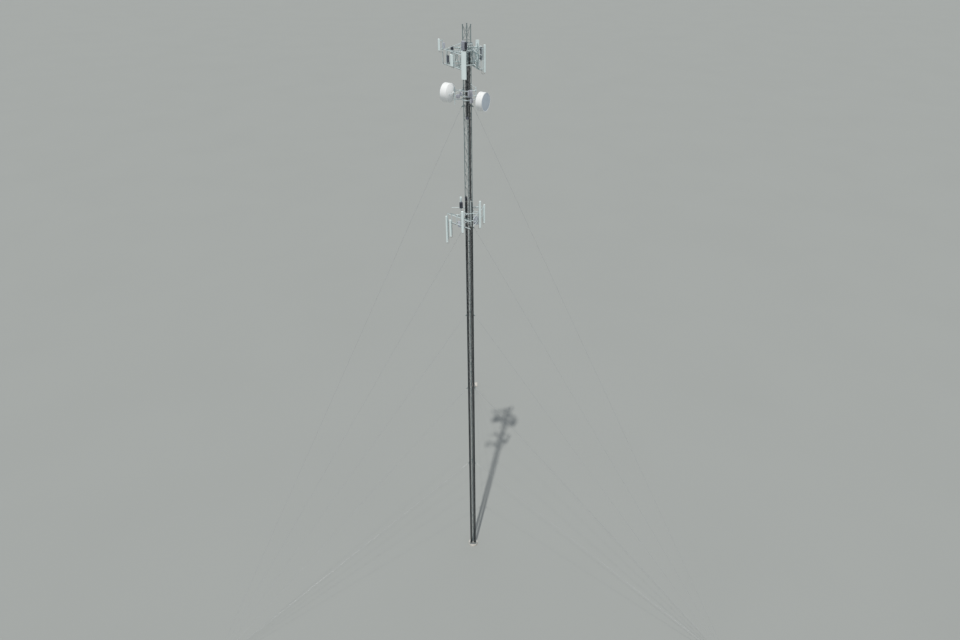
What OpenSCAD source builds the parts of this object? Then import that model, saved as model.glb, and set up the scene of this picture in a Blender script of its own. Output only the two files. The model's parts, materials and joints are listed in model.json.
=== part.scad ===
// Guyed triangular lattice mast with two antenna arrays and two dishes.
// It is a model at half size: every size below is the model's own, in millimetres.
// The origin is on the ground under the middle of the mast. +Z is up and -Y is the front.

/* [Mast] */
// Height of the mast's top above the ground
mast_h = 38400; // [36500:100:39500]
// Width of a face, from leg centre to leg centre
face_w = 390; // [350:5:430]
// Outside diameter of a leg
leg_d = 45; // [38:1:50]
// Diameter of a bracing bar
brace_d = 17; // [13:1:20]
// Diameter of the flange at each end of a leg
flange_d = 88; // [80:1:94]
// Thickness of one leg flange
flange_t = 10; // [6:1:14]

/* [Base] */
// Diameter of the concrete pier
pier_d = 700; // [620:10:900]
// Height of the pier above the ground
pier_h = 150; // [100:10:300]
// Thickness of the steel base plate
base_plate_t = 30; // [20:1:40]
// Diameter of a base plate anchor bolt
base_bolt_d = 24; // [16:1:30]

/* [Guys] */
// Distance from the mast to an anchor, on the ground
guy_radius = 20000; // [17000:100:20500]
// Diameter of a guy wire
guy_d = 9; // [6:1:12]
// Width of the square anchor block
anchor_w = 600; // [500:10:900]
// Height of the anchor block above the ground
anchor_h = 120; // [80:10:200]
// Thickness of the anchor plate and of the guy lugs
lug_t = 14; // [10:1:18]
// Length of a turnbuckle
turnbuckle_l = 360; // [300:5:420]
// Diameter of a turnbuckle
turnbuckle_d = 26; // [20:1:30]

/* [Top array] */
// Length of the left frame's rails
top_rail_l = 2220; // [2150:10:2300]
// Length of the right frame's rails
top_right_rail_l = 1510; // [1450:10:1560]
// Length of the rear frame's rails
top_rear_rail_l = 1600; // [1500:10:1650]
// Distance from the mast's axis to the left frame
top_reach_left = 780; // [700:10:900]
// Distance from the mast's axis to the right frame
top_reach_right = 450; // [430:10:560]
// Distance from the mast's axis to the rear frame
top_reach_rear = 900; // [800:10:1000]

/* [Middle array] */
// Length of a frame's rails
mid_rail_l = 1710; // [1650:10:1780]
// Distance from the mast's axis to the left frame
mid_reach_left = 890; // [820:10:940]
// Distance from the mast's axis to the right frame
mid_reach_right = 530; // [526:2:580]
// Distance from the mast's axis to the rear frame
mid_reach_rear = 750; // [700:10:850]
// Length of the whip antenna
whip_l = 1550; // [1300:10:1700]
// Diameter of the whip antenna
whip_d = 44; // [34:1:54]

/* [Antennas] */
// Diameter of the frame rails and antenna pipes
pipe_d = 38; // [32:1:44]
// Width of the widest panel antenna
panel_w = 250; // [220:5:280]
// Depth of a panel antenna
panel_d = 90; // [70:1:110]
// Height of the tallest panel antenna
panel_h = 1250; // [1150:10:1400]
// Height of a slim panel antenna
slim_h = 1600; // [1400:10:1700]
// Width of a radio box
radio_w = 160; // [130:5:190]
// Depth of a radio box
radio_d = 100; // [80:1:110]

/* [Dishes] */
// Diameter of a dish
dish_d = 940; // [860:10:1040]
// Depth of the shroud in front of the reflector
shroud_l = 340; // [300:10:460]
// Depth of the reflector
dish_depth = 170; // [120:5:220]
// Thickness of the shroud's wall
shroud_t = 8; // [5:1:12]

/* [Cables] */
// Diameter of a feeder cable
cable_d = 24; // [18:1:28]
// Cables in the left run
cables = 5; // [3:1:5]
// Cables on the right that end at the middle array
short_cables = 2; // [1:1:3]
// Height at which the runs start
cable_foot = 300; // [260:10:600]

/* [Hidden] */

// A clearance between pieces that bolt together round a curve
fit = 0.5;
section_bays = 4;
sections = 13;
mast_z = pier_h + base_plate_t;
section_h = (mast_h - mast_z) / sections;
bay_h = section_h / section_bays;
leg_r = face_w / sqrt(3);
// Front left, front right and rear leg, as compass angles from +X
leg_angles = [210, 330, 90];
face_y = -face_w / (2 * sqrt(3));
// Bay of each guy level, counted from the bottom bay, and its height in that bay
guy_bays = [12.22, 21.7, 29.54, 37.58, 46.78];

clamp_t = 8;
clamp_h = 46;
hanger_t = 6;
cable_y = face_y - flange_d / 2 - hanger_t - 1 - cable_d / 2;
cable_pitch = cable_d + 3;
function cable_x(side, i) = side * (face_w / 2 - 3 - i * cable_pitch);
// The rings pass outside the cables
ring_in = norm([cable_x(1, 0), cable_y]) + cable_d / 2 + 4;
ring_t = 14;
ring_out = ring_in + ring_t;

function bay_z(n) = mast_z + n * bay_h;
// Height of the level bar at the foot of a bay
function strut_z(n) = bay_z(n) + leg_d / 2;
function polar(r, a, z) = [r * cos(a), r * sin(a), z];

// A straight bar between two points, with a given number of sides
module bar(from, to, d, sides = 6) {
    v = to - from;
    len = norm(v);
    translate(from)
        rotate([0, acos(v[2] / len), atan2(v[1], v[0])])
            cylinder(d = d, h = len, $fn = sides);
}

// A square bar between two points, with two of its sides upright
module square_bar(from, to, side) {
    v = to - from;
    len = norm(v);
    translate(from)
        rotate([0, acos(v[2] / len), atan2(v[1], v[0])])
            translate([-side / 2, -side / 2, 0])
                cube([side, side, len]);
}

// One welded section: three legs with flanges, and crossed bracing on each face
module mast_section(number) {
    z0 = bay_z((number - 1) * section_bays);
    inset = leg_d / 2 + brace_d;
    color("gainsboro") {
        for (a = leg_angles) {
            translate(polar(leg_r, a, z0))
                rotate(15) {
                    cylinder(d = leg_d, h = section_h, $fn = 12);
                    cylinder(d = flange_d, h = flange_t, $fn = 12);
                    translate([0, 0, section_h - flange_t])
                        cylinder(d = flange_d, h = flange_t, $fn = 12);
                }
        }
        for (face = [0:2], n = [0:section_bays - 1]) {
            bay = (number - 1) * section_bays + n;
            low = bay_z(bay) + inset;
            high = bay_z(bay + 1) - inset;
            strut = strut_z(bay);
            a = leg_angles[face];
            b = leg_angles[(face + 1) % 3];
            out = polar(brace_d * 0.3, a + 60, 0);
            square_bar(polar(leg_r, a, low) + out, polar(leg_r, b, high) + out, brace_d);
            square_bar(polar(leg_r, b, low) - out, polar(leg_r, a, high) - out, brace_d);
            square_bar(polar(leg_r, a, strut), polar(leg_r, b, strut), brace_d);
        }
    }
}

// Round pier cast in the ground, with a bevelled top edge
module base_pier() {
    bevel = 20;
    color("lightgray")
        rotate_extrude($fn = 64)
            polygon([[0, 0], [pier_d / 2, 0], [pier_d / 2, pier_h - bevel],
                     [pier_d / 2 - bevel, pier_h], [0, pier_h]]);
}

// Triangular base plate with an anchor bolt outside each leg
module base_plate() {
    corner = leg_r + 105;
    color("darkgray") {
        translate([0, 0, pier_h])
            difference() {
                linear_extrude(base_plate_t)
                    intersection() {
                        polygon([for (a = leg_angles) 1.35 * corner * [cos(a), sin(a)]]);
                        circle(r = corner, $fn = 48);
                    }
                translate([0, 0, -1])
                    cylinder(d = face_w * 0.35, h = base_plate_t + 2, $fn = 48);
            }
        for (a = leg_angles, side = [-1, 1])
            translate(polar(leg_r + 68, a + side * 11, mast_z))
                cylinder(d = base_bolt_d, h = 50, $fn = 24);
    }
}

// The line of one guy: from its lug on the leg to its pin on the anchor plate
lug_reach = 95;
lug_drop = 20;
pin_r = 300;
anchor_rise = 220;
anchor_point_z = anchor_h + anchor_rise;
lug_root = leg_r + leg_d / 2 + fit + clamp_t;
function guy_top(level, a) = polar(lug_root + lug_reach, a, bay_z(guy_bays[level]) - lug_drop);
function guy_foot(a) = polar(guy_radius, a, anchor_point_z);
function guy_line(level, a) = guy_top(level, a) - guy_foot(a);
function guy_way(level, a) = guy_line(level, a) / norm(guy_line(level, a));
function guy_pin(level, a) = guy_foot(a) + pin_r * guy_way(level, a);
function guy_slope(level) = atan2(guy_way(level, 0)[2], -guy_way(level, 0)[0]);
shaft_slope = (guy_slope(0) + guy_slope(4)) / 2;
pin_edge = 22;
fork_gap = 27;
fork_t = 12;

// Sloping steel shaft and the fan plate that takes the guys
module anchor(a) {
    eye = 16;
    shaft_w = 70;
    fan = [for (i = [0:8])
        let (s = guy_slope(0) - 6 + i / 8 * (guy_slope(4) - guy_slope(0) + 12))
        (pin_r + pin_edge) * [cos(s), sin(s)]];
    color("darkgray")
        translate(guy_foot(a))
            rotate([90, 0, a + 180])
                translate([0, 0, -lug_t / 2])
                    linear_extrude(lug_t)
                        difference() {
                            union() {
                                polygon(concat([[-40, 40], [-40, -40], [40, -40]], fan));
                                intersection() {
                                    rotate(shaft_slope)
                                        translate([-2 * anchor_rise, -shaft_w / 2])
                                            square([2 * anchor_rise, shaft_w]);
                                    translate([-2 * anchor_rise, -anchor_rise])
                                        square([2 * anchor_rise, 2 * anchor_rise]);
                                }
                            }
                            for (level = [0:4])
                                rotate(guy_slope(level))
                                    translate([pin_r, 0])
                                        circle(d = eye, $fn = 24);
                        }
}

// Concrete block in the ground behind each fan plate, where the shaft goes in
module anchor_blocks() {
    setback = anchor_rise / tan(shaft_slope);
    color("lightgray")
        for (a = leg_angles)
            rotate([0, 0, a])
                translate([guy_radius + setback - anchor_w / 2, -anchor_w / 2, 0])
                    cube([anchor_w, anchor_w, anchor_h]);
}

// Straight wires from the lugs to the turnbuckles, with a socket at the top end
module guys(a) {
    socket_d = 22;
    socket_l = 110;
    color("silver")
        for (level = [0:4]) {
            way = guy_way(level, a);
            top = guy_top(level, a);
            foot = guy_pin(level, a) + (fork_gap + turnbuckle_l) * way;
            bar(foot, top, guy_d, 8);
            bar(top - socket_l * way, top, socket_d, 8);
        }
}

// Turnbuckles with a fork and a pin at the anchor plate
module turnbuckles() {
    cheek = 5;
    fork_w = 24;
    pin_d = 15;
    half = lug_t / 2 + fit + cheek;
    color("silver")
        for (a = leg_angles, level = [0:4])
            translate(guy_pin(level, a))
                rotate([0, guy_slope(level) - 90, a]) {
                    for (side = [-1, 1])
                        translate([-fork_w / 2, side * (half - cheek / 2) - cheek / 2, -14])
                            cube([fork_w, cheek, 14 + fork_gap + fork_t]);
                    translate([-fork_w / 2, -half, fork_gap])
                        cube([fork_w, 2 * half, fork_t]);
                    translate([0, 0, fork_gap])
                        cylinder(d = turnbuckle_d, h = turnbuckle_l, $fn = 12);
                    rotate([90, 0, 0])
                        translate([0, 0, -half - 4])
                            cylinder(d = pin_d, h = 2 * half + 8, $fn = 24);
                }
}

// A split clamp round one leg
module leg_clamp(a, z, h) {
    translate(polar(leg_r, a, z - h / 2))
        difference() {
            cylinder(d = leg_d + 2 * fit + 2 * clamp_t, h = h, $fn = 24);
            translate([0, 0, -1])
                cylinder(d = leg_d + 2 * fit, h = h + 2, $fn = 24);
        }
}

// A clamp with a lug on every leg at every guy level, its end square to the wire
module guy_brackets() {
    h = 90;
    half = 20;
    color("darkgray")
        for (level = [0:4], a = leg_angles) {
            s = guy_slope(level);
            pin = [lug_reach, -lug_drop];
            across = half * [sin(s), cos(s)];
            leg_clamp(a, bay_z(guy_bays[level]), h);
            translate(polar(lug_root, a, bay_z(guy_bays[level])))
                rotate([90, 0, a])
                    translate([0, 0, -lug_t / 2])
                        linear_extrude(lug_t)
                            polygon([[-clamp_t / 2, h / 2], [-clamp_t / 2, -h / 2],
                                     pin - across, pin + across]);
        }
}

// Ring round the mast, clamped to the legs
module ring(z) {
    strap_w = 28;
    translate([0, 0, z - clamp_h / 2])
        difference() {
            cylinder(r = ring_out, h = clamp_h, $fn = 48);
            translate([0, 0, -1])
                cylinder(r = ring_in, h = clamp_h + 2, $fn = 48);
        }
    for (a = leg_angles) {
        leg_clamp(a, z, clamp_h);
        rotate([0, 0, a])
            translate([lug_root - clamp_t / 2, -strap_w / 2, z - clamp_h / 2])
                cube([ring_in + ring_t / 2 - lug_root + clamp_t / 2, strap_w, clamp_h]);
    }
}

// A sector is [azimuth, reach, rail length, shift of the rails along themselves, drop of the rails]
arm_gap = 150;
upright_d = 34;
rail_drop = 40;
function rails_z(levels, sector) = [levels[0] - sector[4], levels[1] - sector[4]];
function middle(levels, sector) = (levels[0] + levels[1]) / 2 - sector[4];

// Rings with a pair of arms at each level for every sector, a sloping web between the levels of
// each pair, and, where spread is more than 0, side braces from the arms out to the rails
module collar(levels, sectors, spread = 0) {
    arm = 30;
    web = 20;
    brace = 24;
    root = sqrt(pow(ring_out, 2) - pow(arm_gap, 2));
    color("silver") {
        for (z = levels)
            ring(z);
        for (s = sectors, side = [-1, 1])
            rotate([0, 0, s[0]]) {
                tip = s[1] - upright_d / 2;
                from = root + 0.25 * (s[1] - root);
                square_bar([root + arm, side * arm_gap, levels[0]], [tip - arm, side * arm_gap, levels[1]], web);
                for (z = levels) {
                    difference() {
                        translate([0, side * arm_gap - arm / 2, z - arm / 2])
                            cube([tip, arm, arm]);
                        translate([0, 0, z - arm])
                            cylinder(r = ring_in + ring_t / 2, h = 2 * arm, $fn = 48);
                    }
                    if (spread > 0)
                        difference() {
                            bar([from, side * arm_gap, z], [s[1], side * (arm_gap + spread), z - s[4]], brace);
                            translate([s[1] - pipe_d / 2 - fit, -section_h / 2, z - section_h / 2])
                                cube(section_h);
                        }
                }
            }
    }
}

// Antenna pipe of a frame: long enough for both rails and for its antenna's brackets
pipe_forward = 0.9 * pipe_d;
bracket_share = 0.36;
module antenna_pipe(levels, sector, p) {
    spare = 60;
    rails = rails_z(levels, sector);
    mid = middle(levels, sector);
    low = min(rails[0], mid + p[1] - bracket_share * p[3]) - spare;
    high = max(rails[1], mid + p[1] + bracket_share * p[3]) + spare;
    translate([pipe_forward, p[0], low])
        rotate(15)
            cylinder(d = pipe_d, h = high - low, $fn = 12);
}

// Sector frame: two rails, two uprights, and a pipe for each antenna
module frame(levels, sector, antennas) {
    rails = rails_z(levels, sector);
    foot = rails[0] - pipe_d;
    color("silver")
        rotate([0, 0, sector[0]])
            translate([sector[1], 0, 0]) {
                for (z = rails)
                    translate([0, sector[3] - sector[2] / 2, z])
                        rotate([-90, 0, 0])
                            rotate(15)
                                cylinder(d = pipe_d, h = sector[2], $fn = 12);
                for (side = [-1, 1])
                    translate([0, side * arm_gap, foot])
                        rotate(15)
                            cylinder(d = upright_d, h = levels[1] + pipe_d - foot, $fn = 12);
                for (p = antennas)
                    antenna_pipe(levels, sector, p);
            }
}

// A tie that slopes from the upper ring down to the end of a frame's upper rail
module tie(levels, sector, y) {
    tie_d = 28;
    end = [sector[1] * cos(sector[0]) - y * sin(sector[0]),
           sector[1] * sin(sector[0]) + y * cos(sector[0]), rails_z(levels, sector)[1]];
    a = atan2(end[1], end[0]);
    color("silver")
        difference() {
            bar(polar(ring_in, a, tie_level), end, tie_d, 6);
            translate([0, 0, tie_level - section_h / 2])
                cylinder(r = ring_out + fit, h = section_h, $fn = 48);
        }
}

// Outline of a panel antenna: flat back and bowed front
function panel_outline(w, d) = concat([[0, w / 2], [0, -w / 2], [d * 0.45, -w / 2]],
    [for (i = [1:7]) [d * (0.45 + 0.55 * sin(180 * i / 8)), -w / 2 * cos(180 * i / 8)]],
    [[d * 0.45, w / 2]]);

// Saddle in front of a pipe, at the height of the origin, that carries something at a distance
saddle_h = 50;
module saddle(gap) {
    translate([0, 0, -saddle_h / 2])
        difference() {
            translate([2, -saddle_h / 2, 0])
                cube([pipe_d / 2 + gap - 2, saddle_h, saddle_h]);
            translate([0, 0, -1])
                cylinder(d = pipe_d + 2 * fit, h = saddle_h + 2, $fn = 24);
        }
}

// A panel antenna with end caps, in front of its pipe on two saddles
module panel(w, h, gap) {
    cap_t = 14;
    back = pipe_d / 2 + gap - 1;
    color("whitesmoke") {
        translate([back, 0, -h / 2])
            linear_extrude(h)
                polygon(panel_outline(w - 6, panel_d - 3));
        for (z = [-h / 2, h / 2 - cap_t])
            translate([back, 0, z])
                linear_extrude(cap_t)
                    polygon(panel_outline(w, panel_d));
        for (z = [-h, h] * bracket_share)
            translate([0, 0, z])
                saddle(gap);
    }
}

// Panels of one sector: each is [place along the rail, height of its middle above the frame's,
// width, height, turn, gap behind it]
module panels(levels, sector, list) {
    rotate([0, 0, sector[0]])
        translate([sector[1] + pipe_forward, 0, middle(levels, sector)])
            for (p = list)
                translate([0, p[0], p[1]])
                    rotate([0, 0, p[4]])
                        panel(p[2], p[3], p[5]);
}

// Outline of a radio box: flat back, and cooling fins on its front
radio_fins = 7;
fin_share = 0.7;
function radio_outline(w, d) =
    let (pitch = w / (radio_fins - 0.5), root = fin_share * d)
    concat([[0, w / 2], [0, -w / 2], [d, -w / 2]],
        [for (i = [1:radio_fins - 1], p = [[d, -0.5], [root, -0.5], [root, 0], [d, 0]])
            [p[0], (i + p[1]) * pitch - w / 2]],
        [[d, w / 2]]);

// A radio box, its back on the plane x = 0 and its middle at the origin's height
module radio(w, h) {
    color("gray")
        translate([0, 0, -h / 2])
            linear_extrude(h)
                polygon(radio_outline(w, radio_d));
}

// A radio box on the outside of a ring
module ring_radio(a, z, w, h) {
    translate(polar(ring_out + fit, a, z))
        rotate([0, 0, a])
            radio(w, h);
}

// A radio box behind a frame's rails, or further forward behind an antenna pipe
module rail_radio(levels, sector, y, z, w, h, forward = 0) {
    rotate([0, 0, sector[0]])
        translate([sector[1] + forward - pipe_d / 2, y, middle(levels, sector) + z])
            rotate([0, 0, 180])
                radio(w, h);
}

top_levels = [bay_z(49.51), bay_z(50.41)];
tie_level = bay_z(50.81);
top_left_shift = 60;
top_right_shift = -195;
top_left = [211, top_reach_left, top_rail_l, top_left_shift, rail_drop];
top_right = [18.6, top_reach_right, top_right_rail_l, top_right_shift, rail_drop + 90];
top_rear = [100, top_reach_rear, top_rear_rail_l, 0, rail_drop];
top_sectors = [top_left, top_right, top_rear];
top_spread = 190;
gap = 50;
wide_gap = 110;
small_gap = 14;
top_left_panels = [[top_rail_l / 2 + 40, -70, panel_w, panel_h, 45, gap],
                   [75, -14, panel_w, 520, 0, gap],
                   [top_left_shift - top_rail_l / 2 + 30, 536, panel_w * 0.72, 520, -20, wide_gap]];
top_right_panels = [[top_right_shift - top_right_rail_l / 2 + 50, 171, panel_w * 0.6, panel_h, 0, gap + 20],
                    [-380, 346, panel_w * 0.6, 620, -5, gap]];
top_rear_panels = [[-700, 0, panel_w * 0.75, panel_h, 0, gap],
                   [-250, 0, panel_w * 0.75, 680, 0, gap]];
// Pipes that carry a radio box, or nothing yet
top_left_radio = [-640, -80, radio_w, 340, 0, small_gap];
top_right_radio = [-570, 346, radio_w, 600, 0, small_gap];
top_right_spare = [470, 0, radio_w, 600, 0, small_gap];

mid_levels = [bay_z(38.2), bay_z(38.81)];
mid_left_shift = 25;
mid_shift = 80;
mid_left = [230, mid_reach_left, mid_rail_l, mid_left_shift, rail_drop];
mid_right = [340, mid_reach_right, mid_rail_l, mid_shift, rail_drop];
mid_rear = [95, mid_reach_rear, mid_rail_l, mid_shift, rail_drop];
mid_sectors = [mid_left, mid_right, mid_rear];
mid_left_panels = [[410, 110, panel_w * 0.6, panel_h, 0, gap],
                   [-505, -520, panel_w * 0.48, 1000, 0, gap],
                   [mid_left_shift - mid_rail_l / 2 + 40, -675, panel_w * 0.4, slim_h, 0, gap]];
mid_right_panels = [[90, 150, panel_w * 0.44, slim_h, 0, small_gap],
                    [mid_shift + mid_rail_l / 2 - 149, -85, panel_w * 0.4, 1100, 0, small_gap]];
mid_rear_panels = [[395, 450, panel_w * 0.44, 700, 0, gap],
                   [-240, 0, panel_w * 0.44, panel_h, 0, gap]];

// Grey radio boxes: behind the frames' pipes and rails, in front of one pipe, and on the rings
module top_radios() {
    rail_radio(top_levels, top_left, 90 - top_rail_l / 2, 485, radio_w, 260, pipe_forward);
    rail_radio(top_levels, top_left, top_left_radio[0], top_left_radio[1], radio_w, top_left_radio[3],
               pipe_forward);
    rail_radio(top_levels, top_rear, 620, 250, radio_w * 0.9, 300);
    rotate([0, 0, top_right[0]])
        translate([top_right[1] + pipe_forward, top_right_radio[0],
                   middle(top_levels, top_right) + top_right_radio[1]]) {
            translate([pipe_d / 2 + top_right_radio[5] - 1, 0, 0])
                radio(radio_w, top_right_radio[3]);
            color("gray")
                for (z = [-1, 1] * bracket_share * top_right_radio[3])
                    translate([0, 0, z])
                        saddle(top_right_radio[5]);
        }
    ring_radio(239, tie_level - 60, radio_w, 420);
    ring_radio(264, tie_level - 60, radio_w * 0.7, 340);
    ring_radio(294, dish_z[1] + 150, radio_w * 1.4, 340);
    ring_radio(306, dish_z[0] - 20, radio_w, 220);
}

// Grey radio boxes of the middle array
module mid_radios() {
    ring_radio(mid_right[0], mid_levels[0], radio_w, 450);
    rail_radio(mid_levels, mid_right, 0, -200, radio_w * 1.2, 450);
    rail_radio(mid_levels, mid_rear, mid_rear_panels[0][0], 385, radio_w * 1.2, 350);
    rail_radio(mid_levels, mid_left, 0, -200, radio_w, 350);
}

// Whip antenna on the outside of the middle rings, in two saddles
module mid_whip() {
    a = 289;
    hold = 30;
    color("gainsboro")
        rotate([0, 0, a])
            translate([ring_out + fit + hold + whip_d / 2, 0, 0]) {
                translate([0, 0, (mid_levels[0] + mid_levels[1]) / 2 + 250 - whip_l / 2])
                    cylinder(d = whip_d, h = whip_l, $fn = 24);
                for (z = mid_levels)
                    translate([-hold - whip_d / 2, -whip_d / 2 - 6, z - clamp_h / 2])
                        cube([hold + whip_d, whip_d + 12, clamp_h]);
            }
}

// Pipes clamped across the front of the mast, carrying the two dishes
dish_z = [bay_z(47.2), bay_z(47.45), bay_z(47.81)];
dish_post_left = [-655, 0];
dish_post_right = [430, -60];
dish_turn_left = 150;
dish_turn_right = -29;
dish_left_z = dish_z[1] + 104;
dish_right_z = dish_z[0] - 62;
dish_post_d = 54;
dish_post_below = 260;
dish_post_l = 860;
stay_z = bay_z(48.2);
module dish_frame() {
    cross_d = 40;
    post_top = dish_z[0] - dish_post_below + dish_post_l - 40;
    leg = polar(leg_r, leg_angles[1], stay_z);
    color("silver") {
        for (z = dish_z) {
            ring(z);
            bar([dish_post_left[0], dish_post_left[1], z], polar(ring_in + 4, 185, z), cross_d);
            bar([dish_post_right[0], dish_post_right[1], z], polar(ring_in + 4, 328, z), cross_d);
        }
        for (p = [dish_post_left, dish_post_right])
            translate([p[0], p[1], dish_z[0] - dish_post_below])
                cylinder(d = dish_post_d, h = dish_post_l, $fn = 24);
        leg_clamp(leg_angles[1], stay_z, clamp_h);
        difference() {
            bar([dish_post_right[0], dish_post_right[1], post_top], leg, cross_d * 0.7);
            translate([leg[0], leg[1], stay_z - clamp_h])
                cylinder(d = leg_d + 2 * fit, h = 2 * clamp_h, $fn = 24);
        }
    }
}

dish_back = 60;
hub_r = 80;
rim_t = 6;
// Reflector, rim and shroud turned about their common axis
module dish(post, turn, z) {
    steps = 8;
    bowl = [for (i = [0:steps])
        let (r = hub_r + (dish_d / 2 - hub_r) * i / steps)
        [r, dish_back + dish_depth * pow(r / (dish_d / 2), 2)]];
    inner = [for (i = [steps:-1:0]) bowl[i] + [i == steps ? -shroud_t : 0, rim_t]];
    front = dish_back + dish_depth + shroud_l;
    color("white")
        translate([post[0], post[1], z])
            rotate([0, 90, turn]) {
                rotate_extrude($fn = 72)
                    polygon(concat([[0, dish_back - 30], [hub_r, dish_back - 30]], bowl,
                        [[dish_d / 2, front], [dish_d / 2 - shroud_t, front]], inner,
                        [[0, dish_back + rim_t]]));
                translate([-60, -60, dish_post_d / 2])
                    cube([120, 120, dish_back - 30 - dish_post_d / 2 + 1]);
            }
}

// Fabric radome stretched over the shroud's mouth
module radome(post, turn, z) {
    front = dish_back + dish_depth + shroud_l;
    color("lightsteelblue")
        translate([post[0], post[1], z])
            rotate([0, 90, turn])
                translate([0, 0, front])
                    rotate_extrude($fn = 72)
                        polygon([[0, 0], [dish_d / 2, 0], [dish_d / 2, 8],
                                 [dish_d / 2 - 25, 14], [0, 22]]);
}

// Feeder cables side by side in front of a front leg. The right run has one cable more than
// the left one, and its outer cables end at the middle array.
cable_top_mid = bay_z(39.7);
cable_top = bay_z(50);
function run_cables(side) = side > 0 ? cables + 1 : cables;
function cable_end(side, i) = side > 0 && i >= short_cables ? cable_top : cable_top_mid;
module cable_run(side) {
    color("#202224")
        for (i = [0:run_cables(side) - 1])
            translate([cable_x(side, i), cable_y, cable_foot])
                cylinder(d = cable_d, h = cable_end(side, i) - cable_foot, $fn = 12);
}

// A hanger behind the cables at every other bay, held by the front bracing
module cable_hangers() {
    stub = 20;
    strip_h = 30;
    reach = -cable_y - cable_d / 2 + face_y - brace_d / 2;
    color("darkgray")
        for (side = [-1, 1], n = [1:2:side > 0 ? 47 : 39]) {
            first = strut_z(n) > cable_top_mid ? short_cables : 0;
            outer = cable_x(side, first) + side * cable_pitch / 2;
            inner = cable_x(side, run_cables(side) - 1) - side * cable_pitch / 2;
            translate([min(outer, inner), cable_y + cable_d / 2, strut_z(n)]) {
                translate([0, 0, -strip_h / 2])
                    cube([abs(outer - inner), hanger_t, strip_h]);
                translate([side > 0 ? 0 : abs(outer - inner) - stub, 0, -brace_d / 2])
                    cube([stub, reach, brace_d]);
            }
        }
}

base_pier();
base_plate();
mast_section(1);  // mast_section_01
mast_section(2);  // mast_section_02
mast_section(3);  // mast_section_03
mast_section(4);  // mast_section_04
mast_section(5);  // mast_section_05
mast_section(6);  // mast_section_06
mast_section(7);  // mast_section_07
mast_section(8);  // mast_section_08
mast_section(9);  // mast_section_09
mast_section(10);  // mast_section_10
mast_section(11);  // mast_section_11
mast_section(12);  // mast_section_12
mast_section(13);  // mast_section_13
anchor(leg_angles[0]);  // anchor_left
anchor(leg_angles[1]);  // anchor_right
anchor(leg_angles[2]);  // anchor_rear
anchor_blocks();
guys(leg_angles[0]);  // guys_left
guys(leg_angles[1]);  // guys_right
guys(leg_angles[2]);  // guys_rear
turnbuckles();
guy_brackets();
union() {  // top_collar
    collar(top_levels, top_sectors, top_spread);
    color("silver") ring(tie_level);
}
union() {  // top_frame_left
    frame(top_levels, top_left, concat(top_left_panels, [top_left_radio]));
    tie(top_levels, top_left, 260 - top_rail_l / 2);
}
union() {  // top_frame_right
    frame(top_levels, top_right, concat(top_right_panels, [top_right_radio, top_right_spare]));
    tie(top_levels, top_right, 480);
}
union() {  // top_frame_rear
    frame(top_levels, top_rear, top_rear_panels);
    tie(top_levels, top_rear, 500);
    tie(top_levels, top_rear, -500);
}
panels(top_levels, top_left, top_left_panels);  // top_panels_left
panels(top_levels, top_right, top_right_panels);  // top_panels_right
panels(top_levels, top_rear, top_rear_panels);  // top_panels_rear
top_radios();
collar(mid_levels, mid_sectors);  // mid_collar
frame(mid_levels, mid_left, mid_left_panels);  // mid_frame_left
frame(mid_levels, mid_right, mid_right_panels);  // mid_frame_right
frame(mid_levels, mid_rear, mid_rear_panels);  // mid_frame_rear
panels(mid_levels, mid_left, mid_left_panels);  // mid_panels_left
panels(mid_levels, mid_right, mid_right_panels);  // mid_panels_right
panels(mid_levels, mid_rear, mid_rear_panels);  // mid_panels_rear
mid_radios();
mid_whip();
dish_frame();
dish(dish_post_left, dish_turn_left, dish_left_z);  // dish_left
dish(dish_post_right, dish_turn_right, dish_right_z);  // dish_right
radome(dish_post_left, dish_turn_left, dish_left_z);  // radome_left
radome(dish_post_right, dish_turn_right, dish_right_z);  // radome_right
cable_run(1);  // cables_right
cable_run(-1);  // cables_left
cable_hangers();
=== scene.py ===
import json
import math
from functools import partial

import bpy
import numpy as np
from bpy.props import FloatProperty, FloatVectorProperty, IntProperty, PointerProperty
from mathutils import Euler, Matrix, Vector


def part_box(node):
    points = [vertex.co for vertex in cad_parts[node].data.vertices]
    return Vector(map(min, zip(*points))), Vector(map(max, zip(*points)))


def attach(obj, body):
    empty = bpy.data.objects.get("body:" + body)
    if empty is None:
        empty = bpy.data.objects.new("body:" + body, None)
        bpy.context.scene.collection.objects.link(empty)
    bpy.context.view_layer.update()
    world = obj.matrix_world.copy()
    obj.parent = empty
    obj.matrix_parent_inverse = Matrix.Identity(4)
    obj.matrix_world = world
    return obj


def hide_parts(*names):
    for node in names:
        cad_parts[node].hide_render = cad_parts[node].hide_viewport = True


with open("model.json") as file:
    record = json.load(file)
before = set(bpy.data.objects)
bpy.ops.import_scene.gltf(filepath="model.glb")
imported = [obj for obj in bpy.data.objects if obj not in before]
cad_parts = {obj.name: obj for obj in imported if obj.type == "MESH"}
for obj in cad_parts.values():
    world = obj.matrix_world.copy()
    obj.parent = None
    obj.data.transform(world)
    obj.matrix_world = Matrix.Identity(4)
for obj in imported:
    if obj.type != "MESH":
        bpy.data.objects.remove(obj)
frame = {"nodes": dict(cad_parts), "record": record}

bl_info = {
    "name": "Guyed lattice mast",
    "version": (1, 0, 0),
    "blender": (4, 5, 0),
    "location": "3D View > Sidebar > Mast",
    "description": "Builds the finished pieces of a half-size guyed radio mast round its solids",
    "category": "Add Mesh",
}

BODY = "root"
ACROSS, BACK, UP = np.eye(3)
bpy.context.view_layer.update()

# The mast, worked out from its solids
SECTIONS, BAYS = 13, 4
MAST_FOOT, MAST_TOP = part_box("mast_section_01")[0].z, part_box("mast_section_13")[1].z
SECTION_H = (MAST_TOP - MAST_FOOT) / SECTIONS
BAY_H = SECTION_H / BAYS
LEG_ANGLES = (210.0, 330.0, 90.0)
SIDES = ("left", "right", "rear")

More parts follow.
